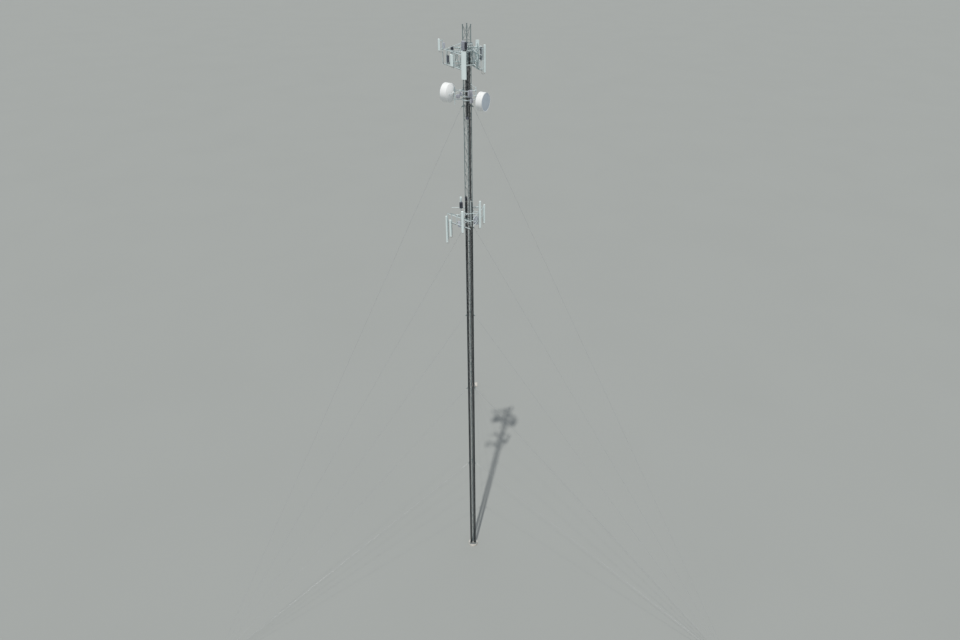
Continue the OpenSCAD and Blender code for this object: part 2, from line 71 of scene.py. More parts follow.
# Shared lengths of the fittings, as in the solids
CLAMP_T, CLAMP_H, RING_T, FIT = 0.008, 0.046, 0.014, 0.0005
RAIL_DROP, ARM_GAP, SADDLE_SHARE = 0.04, 0.15, 0.36
GAP, WIDE_GAP, SMALL_GAP = 0.05, 0.11, 0.014
LUG_REACH, LUG_DROP, LUG_T, LUG_H = 0.095, 0.02, 0.014, 0.09
PIN_R, FORK_GAP, ANCHOR_POINT_Z = 0.3, 0.027, 0.34
STEP_START, STEP_END, STEP_PITCH = 1.3, 0.3, 0.2
PIPE_AHEAD = 0.9  # an antenna pipe's axis in front of the rails', in pipe diameters


def bay_z(bay):
    """Height of a bay line: the mast's foot plus so many bays."""
    return MAST_FOOT + bay * BAY_H


GUY_BAYS = (12.22, 21.7, 29.54, 37.58, 46.78)
TOP_LEVELS = (bay_z(49.51), bay_z(50.41))
MID_LEVELS = (bay_z(38.2), bay_z(38.81))
DISH_LEVELS = (bay_z(47.2), bay_z(47.45), bay_z(47.81))
TIE_LEVEL, STAY_LEVEL = bay_z(50.81), bay_z(48.2)
CABLE_TOP, CABLE_TOP_MID, CABLE_FOOT = bay_z(50), bay_z(39.7), 0.3
HANGER_BAYS = {"right": range(1, 48, 2), "left": range(1, 40, 2)}
BUNDLE_BAYS, BUNDLE_COUNT, BUNDLE_PITCH, BUNDLE_X = (46, 48, 49), 8, 0.017, -0.03
DISH_POSTS = {"left": ((-0.655, 0.0), 150, DISH_LEVELS[1] + 0.104, 185),
              "right": ((0.43, -0.06), -29, DISH_LEVELS[0] - 0.062, 328)}


def polar(radius, degrees, z=0.0):
    """Point at a radius and a compass angle from +X, at a height."""
    a = math.radians(degrees)
    return np.array([radius * math.cos(a), radius * math.sin(a), z])


def unit(v):
    """A vector divided by its length."""
    v = np.asarray(v, float)
    return v / np.linalg.norm(v)


def axes_along(direction, side=None):
    """Three unit vectors u, v, w with w along the direction and u x v = w. u is nearest to side."""
    w = unit(direction)
    if side is None:
        side = np.cross(UP, w)
        if np.linalg.norm(side) < 1e-6:
            side = ACROSS
    u = unit(np.asarray(side, float) - np.dot(side, w) * w)
    return u, np.cross(w, u), w


def circle(radius, sides, turn=0.5):
    """Points of a circle, anticlockwise: radius times (cos t, sin t), t from turn steps on."""
    t = (np.arange(sides) + turn) * 2 * math.pi / sides
    return radius * np.stack([np.cos(t), np.sin(t)], 1)


def cut_rectangle(w, d, cut):
    """Corners of a w by d rectangle with each corner cut off, anticlockwise from the lower right."""
    x, y = w / 2, d / 2
    return np.array([(x - cut, -y), (x, -y + cut), (x, y - cut), (x - cut, y),
                     (-x + cut, y), (-x, y - cut), (-x, -y + cut), (-x + cut, -y)])


def drawn_in(outline, by):
    """An outline with every point moved towards the middle by a distance."""
    middle = outline.mean(0)
    away = outline - middle
    return middle + away * (1 - by / np.linalg.norm(away, axis=1, keepdims=True))


def rounded(points, radius, steps=6):
    """A path with rounded corners. Each corner B becomes (1-t)^2 A + 2t(1-t) B + t^2 C, with A and
    C on its two legs at the radius from it, or just under half a leg where that is shorter."""
    p = np.asarray(points, float)
    legs = np.diff(p, axis=0)
    length = np.linalg.norm(legs, axis=1)[:, None]
    cut = np.minimum(radius, np.minimum(length[:-1], length[1:]) * 0.48)
    a = p[1:-1] - legs[:-1] / length[:-1] * cut
    c = p[1:-1] + legs[1:] / length[1:] * cut
    t = np.linspace(0, 1, steps)[None, :, None]
    curve = (1 - t) ** 2 * a[:, None] + 2 * t * (1 - t) * p[1:-1, None] + t ** 2 * c[:, None]
    return np.vstack([p[:1], curve.reshape(-1, 3), p[-1:]])


def band(inner, outer, height, ease=0.0012):
    """Profile of a flat ring with its outer edges eased, the outside first."""
    return [(outer - ease, 0), (outer, ease), (outer, height - ease), (outer - ease, height),
            (inner, height), (inner, 0)]


def in_scene(name, data):
    """A new object in the scene, at the origin and unturned."""
    new = bpy.data.objects.new(name, data)
    bpy.context.scene.collection.objects.link(new)
    return new


class Form:
    """Closed surfaces of one piece, each a grid of points, gathered and made into one mesh."""

    def __init__(self):
        self.points, self.faces, self.corner_uv = [], [], []
        self.count = 0

    def loft(self, rows, ring=False):
        """A skin over rows of points. Row i and column j give the point P(i, j). Columns close on
        themselves and run anticlockwise seen from the last row. Both ends are capped, or in a ring
        the last row joins the first. UV is (girth, length) in metres."""
        rows = np.asarray(rows, float)
        n, m = rows.shape[:2]
        at = self.count + np.arange(n * m).reshape(n, m)
        girth = np.linalg.norm(rows[0] - np.roll(rows[0], -1, 0), axis=1)
        u = np.concatenate([[0.0], np.cumsum(girth)])
        steps = np.linalg.norm(rows.mean(1) - np.roll(rows.mean(1), 1, 0), axis=1)
        steps[0] = 0.0
        v = np.cumsum(steps)
        low = at if ring else at[:-1]
        high = np.roll(at, -1, 0) if ring else at[1:]
        v_low = v if ring else v[:-1]
        v_high = np.append(v[1:], v[-1]) if ring else v[1:]
        quads = np.stack([low, np.roll(low, -1, 1), np.roll(high, -1, 1), high], -1)
        corners = np.empty(quads.shape + (2,))
        corners[..., 0, 0] = corners[..., 3, 0] = u[:-1]
        corners[..., 1, 0] = corners[..., 2, 0] = u[1:]
        corners[..., 0, 1] = corners[..., 1, 1] = v_low[:, None]
        corners[..., 2, 1] = corners[..., 3, 1] = v_high[:, None]
        self.points.append(rows.reshape(-1, 3))
        self.faces.extend(quads.reshape(-1, 4).tolist())
        self.corner_uv.append(corners.reshape(-1, 2))
        if not ring:
            self.faces.append(at[0][::-1].tolist())
            self.faces.append(at[-1].tolist())
            self.corner_uv.append(np.zeros((2 * m, 2)))
        self.count += n * m

    def turned(self, foot, direction, profile, sides, ring=False):
        """A profile of (radius, distance along the axis) turned round the axis from the foot."""
        u, v, w = axes_along(direction)
        profile = np.asarray(profile, float)
        ray = circle(1.0, sides)
        across = ray[:, :1] * u + ray[:, 1:] * v
        rows = np.asarray(foot) + profile[:, 0, None, None] * across + profile[:, 1, None, None] * w
        self.loft(rows, ring)

    def rod(self, start, end, radius, sides=12):
        """A straight round bar between two points."""
        length = np.linalg.norm(np.asarray(end) - start)
        self.turned(start, end - np.asarray(start), [(radius, 0), (radius, length)], sides)

    def pipe(self, start, end, radius, wall, sides=20):
        """A round pipe, open at both ends: a closed profile of outer and inner wall, turned."""
        length = np.linalg.norm(np.asarray(end) - start)
        edge = wall * 0.3
        profile = [(radius - edge, 0), (radius, edge), (radius, length - edge), (radius - edge, length),
                   (radius - wall, length), (radius - wall, 0)]
        self.turned(start, end - np.asarray(start), profile, sides, ring=True)

    def strut(self, start, end, width):
        """A square bar with eased edges between two points, two of its sides upright."""
        u, v = axes_along(end - np.asarray(start), UP)[:2]
        self.prism(cut_rectangle(width, width, width * 0.1), np.asarray(start), u, v,
                   np.linalg.norm(end - np.asarray(start)), 0.0015)

    def swept(self, path, radius, sides=8, side=None):
        """A circle carried along a path, square to it at each point, with its u axis kept level
        with the last one by taking out its part along the path."""
        path = np.asarray(path, float)
        along = np.gradient(path, axis=0)
        u = axes_along(along[0], side)[0]
        radius = np.broadcast_to(radius, len(path))
        rows = []
        ray = circle(1.0, sides)
        for p, t, r in zip(path, along, radius):
            u, v, w = axes_along(t, u)
            rows.append(p + r * (ray[:, :1] * u + ray[:, 1:] * v))
        self.loft(rows)

    def prism(self, outline, foot, u, v, height, bevel=0.0):
        """An outline in the u, v plane raised along u x v, with its end edges bevelled."""
        w = np.cross(u, v)
        inner = drawn_in(outline, bevel) if bevel else outline
        levels = [(inner, 0.0), (outline, bevel), (outline, height - bevel), (inner, height)]
        if not bevel:
            levels = [levels[0], levels[-1]]
        self.loft([foot + s[:, :1] * u + s[:, 1:] * v + h * w for s, h in levels])

    def block(self, centre, u, v, size, bevel=0.001):
        """A box with bevelled edges: size along u, v and u x v."""
        w = np.cross(u, v)
        cut = min(bevel, size[0] / 3, size[1] / 3, size[2] / 3)
        self.prism(cut_rectangle(size[0], size[1], cut), centre - w * size[2] / 2, u, v, size[2], cut)

    def hex_head(self, foot, direction, across, height):
        """A hexagon with its far edge cut back, as on a bolt head or a nut."""
        u, v, w = axes_along(direction)
        hexagon = circle(across / math.sqrt(3), 6)
        levels = [(1.0, 0.0), (1.0, height * 0.75), (0.86, height)]
        self.loft([foot + k * (hexagon[:, :1] * u + hexagon[:, 1:] * v) + h * w for k, h in levels])

    def bolt(self, seat, direction, size, grip=0.0):
        """A bolt head on a washer at the seat, facing the direction, and with a grip the nut and
        the bolt's end at that distance behind it. size is the bolt's diameter."""
        w = unit(direction)
        washer = [(size * 1.1, 0), (size * 1.1, size * 0.2)]
        self.turned(seat, w, washer, 10)
        self.hex_head(seat + w * size * 0.2, w, size * 1.6, size * 0.65)
        if grip:
            back = seat - w * grip
            self.turned(back, -w, washer, 10)
            self.hex_head(back - w * size * 0.2, -w, size * 1.6, size * 0.8)
            self.rod(back, back - w * size * 1.7, size / 2, 8)

    def u_bolt(self, centre, back, along, radius, size, leg):
        """A rod bent half round a pipe: a half circle in the plane square to the pipe's axis, with
        two straight legs that run back, and a nut on each."""
        back, along = unit(back), unit(along)
        side = np.cross(along, back)
        t = np.linspace(0, math.pi, 9)
        bend = centre + radius * (np.cos(t)[:, None] * side - np.sin(t)[:, None] * back)
        path = np.vstack([bend[:1] + back * leg, bend, bend[-1:] + back * leg])
        self.swept(path, size / 2, 6, along)
        for end in (path[0], path[-1]):
            self.hex_head(end - back * size * 1.4, back, size * 1.6, size * 0.8)

    def make(self, name, slot, *replaces, finish=None):
        """Makes the mesh object, gives it a finish, its slot's if none is named, and hides the
        solids it stands for."""
        mesh = bpy.data.meshes.new(name)
        mesh.from_pydata(np.concatenate(self.points).tolist(), [], self.faces)
        uv = mesh.uv_layers.new(name="Length")
        uv.data.foreach_set("uv", np.concatenate(self.corner_uv).astype(np.float32).ravel())
        mesh.shade_smooth()
        mesh.set_sharp_from_angle(angle=math.radians(35))
        mesh.materials.append(MATERIALS[finish or slot])
        piece = in_scene(name, mesh)
        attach(piece, BODY)
        if replaces:
            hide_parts(*replaces)


# Finishes


def new_node(tree, kind, inputs=None, **settings):
    """A new node with its settings and its sockets' values."""
    node = tree.nodes.new(kind)
    for key, value in settings.items():
        setattr(node, key, value)
    for socket, value in (inputs or {}).items():
        node.inputs[socket].default_value = value
    return node


class Finish:
    """Builds one node material. Patterns read Object coordinates, in metres, unless told UV. A
    pattern and a ramp are given as a node and the name of its output."""

    def __init__(self, name, colour, roughness, metallic=0.0, specular=0.5):
        self.material = bpy.data.materials.get(name) or bpy.data.materials.new(name)
        self.material.use_nodes = True
        self.tree = self.material.node_tree
        self.tree.nodes.clear()
        self.first = (*colour, 1.0)
        self.shader = new_node(self.tree, "ShaderNodeBsdfPrincipled", {
            "Base Color": self.first, "Roughness": roughness, "Metallic": metallic,
            "Specular IOR Level": specular})
        self.link(self.shader, "BSDF", new_node(self.tree, "ShaderNodeOutputMaterial"), "Surface")
        self.coords = new_node(self.tree, "ShaderNodeTexCoord")
        self.colour = self.height = None

    def link(self, a, out, b, into):
        self.tree.links.new(a.outputs[out], b.inputs[into])

    def pattern(self, kind, inputs, stretch=(1, 1, 1), source="Object", **settings):
        """A texture on the piece's coordinates times a scale on each axis."""
        mapping = new_node(self.tree, "ShaderNodeMapping", {"Scale": stretch})
        self.link(self.coords, source, mapping, "Vector")
        node = new_node(self.tree, kind, inputs, **settings)
        self.link(mapping, "Vector", node, "Vector")
        return node

    def noise(self, scale, detail=4.0, stretch=(1, 1, 1)):
        return self.pattern("ShaderNodeTexNoise", {"Scale": scale, "Detail": detail}, stretch), "Fac"

    def cells(self, scale):
        grey = new_node(self.tree, "ShaderNodeRGBToBW")
        self.link(self.pattern("ShaderNodeTexVoronoi", {"Scale": scale}), "Color", grey, "Color")
        return grey, "Val"

    def waves(self, scale, direction, stretch=(1, 1, 1), source="Object"):
        return self.pattern("ShaderNodeTexWave", {"Scale": scale}, stretch, source, wave_type="BANDS",
                            bands_direction=direction), "Fac"

    def ramp(self, source, low, high, floor=0.0, ceiling=1.0):
        """The source's value from low to high, mapped to floor to ceiling and held there."""
        node = new_node(self.tree, "ShaderNodeMapRange", {
            "From Min": low, "From Max": high, "To Min": floor, "To Max": ceiling})
        self.link(*source, node, "Value")
        return node, "Result"

    def tint(self, colour, amount):
        """Mixes a colour over the base by the amount."""
        mix = new_node(self.tree, "ShaderNodeMix", data_type="RGBA")
        mix.inputs[6].default_value, mix.inputs[7].default_value = self.first, (*colour, 1.0)
        if self.colour:
            self.tree.links.new(self.colour, mix.inputs[6])
        self.link(*amount, mix, 0)
        self.colour = mix.outputs[2]
        self.tree.links.new(self.colour, self.shader.inputs["Base Color"])

    def rough(self, source, low, high, floor, ceiling):
        self.link(*self.ramp(source, low, high, floor, ceiling), self.shader, "Roughness")

    def bump(self, source, distance, strength=1.0):
        node = new_node(self.tree, "ShaderNodeBump", {"Distance": distance, "Strength": strength})
        self.link(*source, node, "Height")
        if self.height:
            self.tree.links.new(self.height, node.inputs["Normal"])
        self.height = node.outputs["Normal"]
        self.tree.links.new(self.height, self.shader.inputs["Normal"])


def zinc(name, colour, dull, spangle=90.0, roughness=0.45, metallic=0.55):
    """Galvanised steel: crystal patches, dull clouding and faint streaks down its height."""
    f = Finish(name, colour, roughness, metallic, 0.35)
    f.tint(dull, f.ramp(f.cells(spangle), 0.2, 0.8, 0.0, 0.45))
    f.tint([c * 0.72 for c in dull], f.ramp(f.noise(5.0), 0.5, 0.75, 0.0, 0.5))
    f.tint((0.3, 0.27, 0.23), f.ramp(f.noise(30.0, 3.0, (1, 1, 0.06)), 0.66, 0.8, 0.0, 0.22))
    f.rough(f.noise(60.0), 0.3, 0.7, roughness - 0.08, roughness + 0.16)
    f.bump(f.noise(220.0, 2.0), 0.0004, 0.5)
    return f.material


def coated(name, colour, dirt, roughness=0.42, grain=420.0, streak=0.3):
    """Painted or moulded housing: a fine grain, chalky clouding and dirt that runs down it."""
    f = Finish(name, colour, roughness)
    f.tint([c * 0.92 for c in colour], f.ramp(f.noise(3.0, 5.0), 0.45, 0.75, 0.0, 0.45))
    f.tint(dirt, f.ramp(f.noise(34.0, 5.0, (1, 1, 0.05)), 0.56, 0.82, 0.0, streak))
    f.rough(f.noise(8.0), 0.3, 0.7, roughness - 0.05, roughness + 0.15)
    f.bump(f.noise(grain, 2.0), 0.0003, 0.35)
    return f.material


def concrete():
    """Cast concrete: sandy grain, pores, damp patches and pale dust."""
    f = Finish("weathered_concrete", (0.62, 0.6, 0.56), 0.9)
    f.tint((0.47, 0.45, 0.41), f.ramp(f.noise(4.0, 8.0), 0.42, 0.68))
    f.tint((0.72, 0.7, 0.66), f.ramp(f.noise(14.0, 6.0), 0.55, 0.8, 0.0, 0.7))
    f.tint((0.25, 0.24, 0.22), f.ramp(f.noise(260.0, 2.0), 0.66, 0.74, 0.0, 0.7))
    f.bump(f.noise(180.0, 5.0), 0.002, 0.6)
    f.bump(f.noise(9.0, 3.0), 0.006, 0.4)
    return f.material


def fabric():
    """Stretched coated cloth: a fine square weave under a thin coat, and dust in faint upright streaks."""
    f = Finish("radome_cloth", (0.6, 0.67, 0.74), 0.6)
    f.tint((0.5, 0.57, 0.65), f.ramp(f.noise(2.5, 4.0), 0.4, 0.75, 0.0, 0.6))
    f.tint((0.42, 0.44, 0.45), f.ramp(f.noise(18.0, 5.0, (1, 1, 0.12)), 0.58, 0.84, 0.0, 0.35))
    for direction in "ZY":
        f.bump(f.waves(160.0, direction), 0.0004, 0.4)
    return f.material


def jacket():
    """Black polyethylene cable jacket with grey dust and a faint draw grain along it."""
    f = Finish("cable_jacket", (0.014, 0.016, 0.019), 0.65, 0.0, 0.2)
    f.tint((0.06, 0.064, 0.07), f.ramp(f.noise(7.0, 5.0), 0.5, 0.8, 0.0, 0.5))
    f.rough(f.noise(20.0), 0.3, 0.7, 0.5, 0.75)
    f.bump(f.noise(120.0, 2.0, (1, 1, 0.08)), 0.0004, 0.5)
    return f.material


def strand():
    """Galvanised strand wire. Its ridges come from the wire's own UV, length along v: a wave on the
    slanted line 5 u + v. The grooves between the ridges are darkened as painted shade."""
    f = Finish("strand_wire", (0.6, 0.62, 0.63), 0.42, 0.6)
    f.tint((0.45, 0.46, 0.47), f.ramp(f.noise(3.0), 0.45, 0.7, 0.0, 0.6))
    ridges = f.waves(22.0, "DIAGONAL", (5.0, 1.0, 0.0), "UV")
    f.bump(ridges, 0.0012)
    # Painted shade: darker colour in the grooves between the strand's ridges.
    f.tint((0.2, 0.21, 0.22), f.ramp(ridges, 0.45, 0.0, 0.0, 0.7))
    return f.material


def finishes():
    """Every material of the mast by the name of its slot, and the smaller fittings' own."""
    return {
        "concrete": concrete(),
        "dark_steel": zinc("aged_zinc", (0.24, 0.26, 0.27), (0.17, 0.185, 0.19), 60.0, 0.6, 0.2),
        "galvanised": zinc("mast_zinc", (0.27, 0.33, 0.335), (0.19, 0.24, 0.245), 80.0, 0.55, 0.2),
        "wire": strand(),
        "frame_steel": zinc("frame_zinc", (0.71, 0.79, 0.8), (0.57, 0.65, 0.66), 110.0, 0.45, 0.2),
        "truss": zinc("truss_zinc", (0.28, 0.38, 0.39), (0.2, 0.28, 0.29), 110.0, 0.5, 0.2),
        "panel_white": coated("panel_housing", (0.84, 0.94, 0.94), (0.56, 0.6, 0.57), streak=0.2),
        "radio_grey": coated("radio_casting", (0.58, 0.6, 0.66), (0.38, 0.39, 0.4), 0.5, 300.0),
        # dark_and_shaded_casting: near black. This is partly the boxes' own dark paint and partly painted
        # shade for radios that stand in shade behind rails, arms and panels.
        "dark_and_shaded_casting": coated("radio_dark_casting", (0.11, 0.12, 0.15), (0.2, 0.2, 0.2), 0.5, 300.0),
        "dish_white": coated("dish_paint", (0.92, 0.93, 0.93), (0.68, 0.68, 0.66), 0.36, 500.0, 0.12),
        "radome_fabric": fabric(),
        "cable_black": jacket(),
        "bolt": zinc("bolt_zinc", (0.62, 0.63, 0.62), (0.48, 0.49, 0.49), 300.0, 0.38, 0.7),
        "connector": zinc("connector_plating", (0.7, 0.7, 0.66), (0.55, 0.55, 0.52), 400.0, 0.3, 0.8),
    }


MATERIALS = finishes()


# Sizes a user would change


class MastSizes(bpy.types.PropertyGroup):
    """Sizes of the lattice mast."""
    face_w: FloatProperty(name="Face width", description="Leg centre to leg centre", default=0.39,
                          unit="LENGTH")
    leg_d: FloatProperty(name="Leg diameter", description="Outside of a pipe leg", default=0.045,
                         unit="LENGTH")
    brace_d: FloatProperty(name="Brace diameter", description="A bracing rod", default=0.017, unit="LENGTH")
    flange_d: FloatProperty(name="Flange diameter", description="A leg's end flange", default=0.088,
                            unit="LENGTH")
    flange_t: FloatProperty(name="Flange thickness", description="One end flange", default=0.01,
                            unit="LENGTH")
    flange_bolts: IntProperty(name="Flange bolts", description="Bolts in one leg joint", default=6)
    bolt_d: FloatProperty(name="Bolt diameter", description="A joint bolt", default=0.009, unit="LENGTH")


class GuySizes(bpy.types.PropertyGroup):
    """Sizes of the guy wires and their fittings."""
    wire_d: FloatProperty(name="Wire diameter", description="A guy strand", default=0.009, unit="LENGTH")
    radius: FloatProperty(name="Anchor distance", description="Mast to anchor", default=20.0, unit="LENGTH")
    turnbuckle_l: FloatProperty(name="Turnbuckle length", description="Its body", default=0.36,
                                unit="LENGTH")
    turnbuckle_d: FloatProperty(name="Turnbuckle width", description="Its body", default=0.026,
                                unit="LENGTH")
    grip_l: FloatProperty(name="Grip length", description="Wrapped grip at a wire's end", default=0.42,
                          unit="LENGTH")


class ArraySizes(bpy.types.PropertyGroup):
    """Sizes of the antenna frames, panels and radio boxes."""
    pipe_d: FloatProperty(name="Pipe diameter", description="Rails and antenna pipes", default=0.038,
                          unit="LENGTH")
    upright_d: FloatProperty(name="Upright diameter", description="A frame's upright", default=0.034,
                             unit="LENGTH")
    wall: FloatProperty(name="Pipe wall", description="Thickness of a pipe's wall", default=0.003,
                        unit="LENGTH")
    panel_w: FloatProperty(name="Panel width", description="The widest panel", default=0.25, unit="LENGTH")
    panel_d: FloatProperty(name="Panel depth", description="A panel housing", default=0.09, unit="LENGTH")
    panel_h: FloatProperty(name="Panel height", description="The tallest wide panel", default=1.25,
                           unit="LENGTH")
    slim_h: FloatProperty(name="Slim height", description="A slim panel", default=1.6, unit="LENGTH")
    radio_w: FloatProperty(name="Radio width", description="A radio box", default=0.16, unit="LENGTH")
    radio_d: FloatProperty(name="Radio depth", description="A radio box", default=0.1, unit="LENGTH")
    fins: IntProperty(name="Cooling fins", description="Fins on a radio box", default=9)


class DishSizes(bpy.types.PropertyGroup):
    """Sizes of the two shrouded dishes."""
    dish_d: FloatProperty(name="Dish diameter", description="The shroud's outside", default=0.94,
                          unit="LENGTH")
    shroud_l: FloatProperty(name="Shroud depth", description="Rim to mouth", default=0.34, unit="LENGTH")
    depth: FloatProperty(name="Reflector depth", description="Hub to rim", default=0.17, unit="LENGTH")
    back: FloatProperty(name="Offset", description="Post centre to reflector", default=0.06, unit="LENGTH")
    wall: FloatProperty(name="Shroud wall", description="Thickness of the shroud", default=0.008,
                        unit="LENGTH")


class CableSizes(bpy.types.PropertyGroup):
    """Sizes of the feeder cables."""
    cable_d: FloatProperty(name="Cable diameter", description="A feeder cable", default=0.024,
                           unit="LENGTH")
    spacing: FloatProperty(name="Spacing", description="Centre to centre", default=0.027, unit="LENGTH")
    left: IntProperty(name="Left cables", description="Cables in the left run", default=5)
    right: IntProperty(name="Right cables", description="Cables in the right run", default=6)
    short: IntProperty(name="Short cables", description="Right cables that end half-way", default=2)


class StageLook(bpy.types.PropertyGroup):
    """The stage, the lamps and the camera."""
    floor: FloatVectorProperty(name="Floor colour", description="Plain pale floor", subtype="COLOR",
                               default=(0.36, 0.375, 0.365))
    sky: FloatVectorProperty(name="Sky light", description="Soft light from all round", subtype="COLOR",
                             default=(0.88, 0.94, 1.0))
    sun: FloatProperty(name="Sun strength", description="The main lamp", default=2.2)
    eye: FloatVectorProperty(name="Camera place", description="Where the camera stands", unit="LENGTH",
                             default=(0.602, -33.5, 43.2))
    dip: FloatProperty(name="Camera dip", description="Angle below level", subtype="ANGLE",
                       default=math.radians(33.0))
    roll: FloatProperty(name="Camera roll", description="Turn about its own axis", subtype="ANGLE",
                        default=math.radians(-0.1747))
    lens: FloatProperty(name="Lens", description="Focal length in millimetres", default=24.0)


GROUPS = {"mast_sizes": MastSizes, "guy_sizes": GuySizes, "array_sizes": ArraySizes,
          "dish_sizes": DishSizes, "cable_sizes": CableSizes, "stage_look": StageLook}


class Layout:
    """What follows from the sizes a user sets: where the legs, cables, rings and lugs stand."""

    def __init__(self, scene):
        self.mast, self.guy, self.array = scene.mast_sizes, scene.guy_sizes, scene.array_sizes
        self.cable = scene.cable_sizes
        self.leg_r = self.mast.face_w / math.sqrt(3)
        self.face_y = -self.leg_r / 2
        self.cable_y = self.face_y - self.mast.flange_d / 2 - 0.007 - self.cable.cable_d / 2
        self.ring_in = math.hypot(self.cable_x(1, 0), self.cable_y) + self.cable.cable_d / 2 + 0.004
        self.ring_out = self.ring_in + RING_T
        self.lug_root = self.leg_r + self.mast.leg_d / 2 + FIT + CLAMP_T
        self.forward = PIPE_AHEAD * self.array.pipe_d

    def cable_x(self, side, i):
        """Place of one cable of a run across the mast's front."""
        return side * (self.mast.face_w / 2 - 0.003 - i * self.cable.spacing)


def level_bar_z(k, bay):
    """Height of the level bar at the foot of a bay."""
    return bay_z(bay) + k.mast.leg_d / 2


def ears(form, bolts, at, way, square, size, apart, rise, bolt_d, shift=0.0):
    """Two ears side by side that stick out along the way, and two bolts through both of them."""
    for face in (-1, 1):
        form.block(at + face * apart * square, way, square, size, 0.001)
    seat = at + (apart + size[1] / 2) * square + shift * way
    for up in (-rise, rise):
        bolts.bolt(seat + UP * up, square, bolt_d, 2 * apart + size[1])


def leg_clamp(form, bolts, k, angle, z, height):
    """Two half shells round a leg, with a pair of ears on each side and bolts through them."""
    inner = k.mast.leg_d / 2 + FIT
    outer = inner + CLAMP_T
    centre, out = polar(k.leg_r, angle, z), polar(1, angle)
    form.turned(centre - UP * height / 2, UP, band(inner, outer, height), 32, ring=True)
    for way in (polar(1, angle + 90), polar(1, angle - 90)):
        ears(form, bolts, centre + way * (outer + 0.007), way, out, (0.022, 0.006, height), 0.0055,
             0.26 * height, 0.007, 0.002)


def ring(form, bolts, k, z):
    """A flat ring outside the cables, with a clamp on each leg, a strap from each clamp to the
    ring, and two bolted joints in the ring."""
    form.turned(UP * (z - CLAMP_H / 2), UP, band(k.ring_in, k.ring_out, CLAMP_H), 96, ring=True)
    start, end = k.lug_root - CLAMP_T / 2, k.ring_in + RING_T / 2
    for a in LEG_ANGLES:
        leg_clamp(form, bolts, k, a, z, CLAMP_H)
        form.block(polar((start + end) / 2, a, z), polar(1, a), polar(1, a + 90),
                   (end - start, 0.028, CLAMP_H - 0.004), 0.002)
    for a in (30, 150):
        ears(form, bolts, polar(k.ring_out + 0.011, a, z), polar(1, a), polar(1, a + 90),
             (0.026, 0.006, CLAMP_H), 0.0045, 0.012, 0.007)


# Mast


def rod_with_welds(form, start, end, radius, bury):
    """A round rod whose ends swell where they are welded to the legs: radius r, and 1.3 r over
    the weld's length at each end."""
    length = np.linalg.norm(end - start)
    swell, taper = radius * 1.3, bury + radius
    profile = [(swell, 0), (swell, bury + radius * 0.3), (radius, taper),
               (radius, length - taper), (swell, length - bury - radius * 0.3), (swell, length)]
    form.turned(start, end - start, profile, 10)


def leg_profile(s, length):
    """A leg as a turned profile: a flange with eased edges at each end, a weld fillet, the pipe."""
    r, flange, t, ease, weld = s.leg_d / 2, s.flange_d / 2, s.flange_t, 0.0008, 0.004
    low = [(flange - ease, 0), (flange, ease), (flange, t - ease), (flange - ease, t),
           (r + weld, t), (r, t + weld)]
    return low + [(radius, length - z) for radius, z in low[::-1]]


def lattice_section(k, number):
    """One welded section: three legs, and on each face of each bay two crossed rods and a level
    bar."""
    form, s = Form(), k.mast
    first = (number - 1) * BAYS
    inset, bury, radius = s.leg_d / 2 + s.brace_d, s.leg_d / 2, s.brace_d / 2
    for a in LEG_ANGLES:
        form.turned(polar(k.leg_r, a, bay_z(first)), UP, leg_profile(s, SECTION_H), 24)
    for face, bay in [(f, first + b) for f in range(3) for b in range(BAYS)]:
        a, b = LEG_ANGLES[face], LEG_ANGLES[(face + 1) % 3]
        low, high, level = bay_z(bay) + inset, bay_z(bay + 1) - inset, level_bar_z(k, bay)
        out = polar(s.brace_d * 0.3, a + 60)
        for start, end in ((polar(k.leg_r, a, low) + out, polar(k.leg_r, b, high) + out),
                           (polar(k.leg_r, b, low) - out, polar(k.leg_r, a, high) - out),
                           (polar(k.leg_r, a, level), polar(k.leg_r, b, level))):
            rod_with_welds(form, start, end, radius, bury)
    return form


def flange_bolts(k, form, z, grip):
    """A ring of bolts through each leg's flanges, half-way between the pipe and the rim."""
    s = k.mast
    for a in LEG_ANGLES:
        for i in range(s.flange_bolts):
            around = polar((s.leg_d + s.flange_d) / 4, a + 30 + 360 * i / s.flange_bolts)
            form.bolt(polar(k.leg_r, a, z) + around, UP, s.bolt_d, grip)


def step_bolt(form, k, i):
    """One rung of the climbing leg, the rear one: a rod with a hexagon at each end. The rungs stand
    on two sides of the leg in turn."""
    way = polar(1, LEG_ANGLES[2] + (52 if i % 2 else -52))
    axis = polar(k.leg_r, LEG_ANGLES[2], MAST_FOOT + STEP_START + STEP_PITCH * i)
    foot = axis + way * k.mast.leg_d / 2
    tip = foot + 0.085 * way
    form.rod(foot - 0.004 * way, tip, 0.004, 8)
    form.hex_head(tip, way, 0.016, 0.006)
    form.hex_head(foot, way, 0.013, 0.007)


class MAST_OT_lattice(bpy.types.Operator):
    """Builds the thirteen lattice sections and the bolts of their joints"""
    bl_idname = "mast.lattice"
    bl_label = "Lattice sections"

    def execute(self, context):
        k = Layout(context.scene)
        t = k.mast.flange_t
        for number in range(1, SECTIONS + 1):
            section = lattice_section(k, number)
            section.make("lattice_%02d" % number, "galvanised", "mast_section_%02d" % number)
        bolts, steps = Form(), Form()
        for joint in range(SECTIONS):
            flange_bolts(k, bolts, bay_z(joint * BAYS) + t, 2 * t if joint else 0.0)
        bolts.make("joint_bolts", "galvanised", finish="bolt")
        for i in range(int((MAST_TOP - MAST_FOOT - STEP_START - STEP_END) / STEP_PITCH)):
            step_bolt(steps, k, i)
        steps.make("step_bolts", "galvanised", finish="bolt")
        return {"FINISHED"}


# Base and anchors


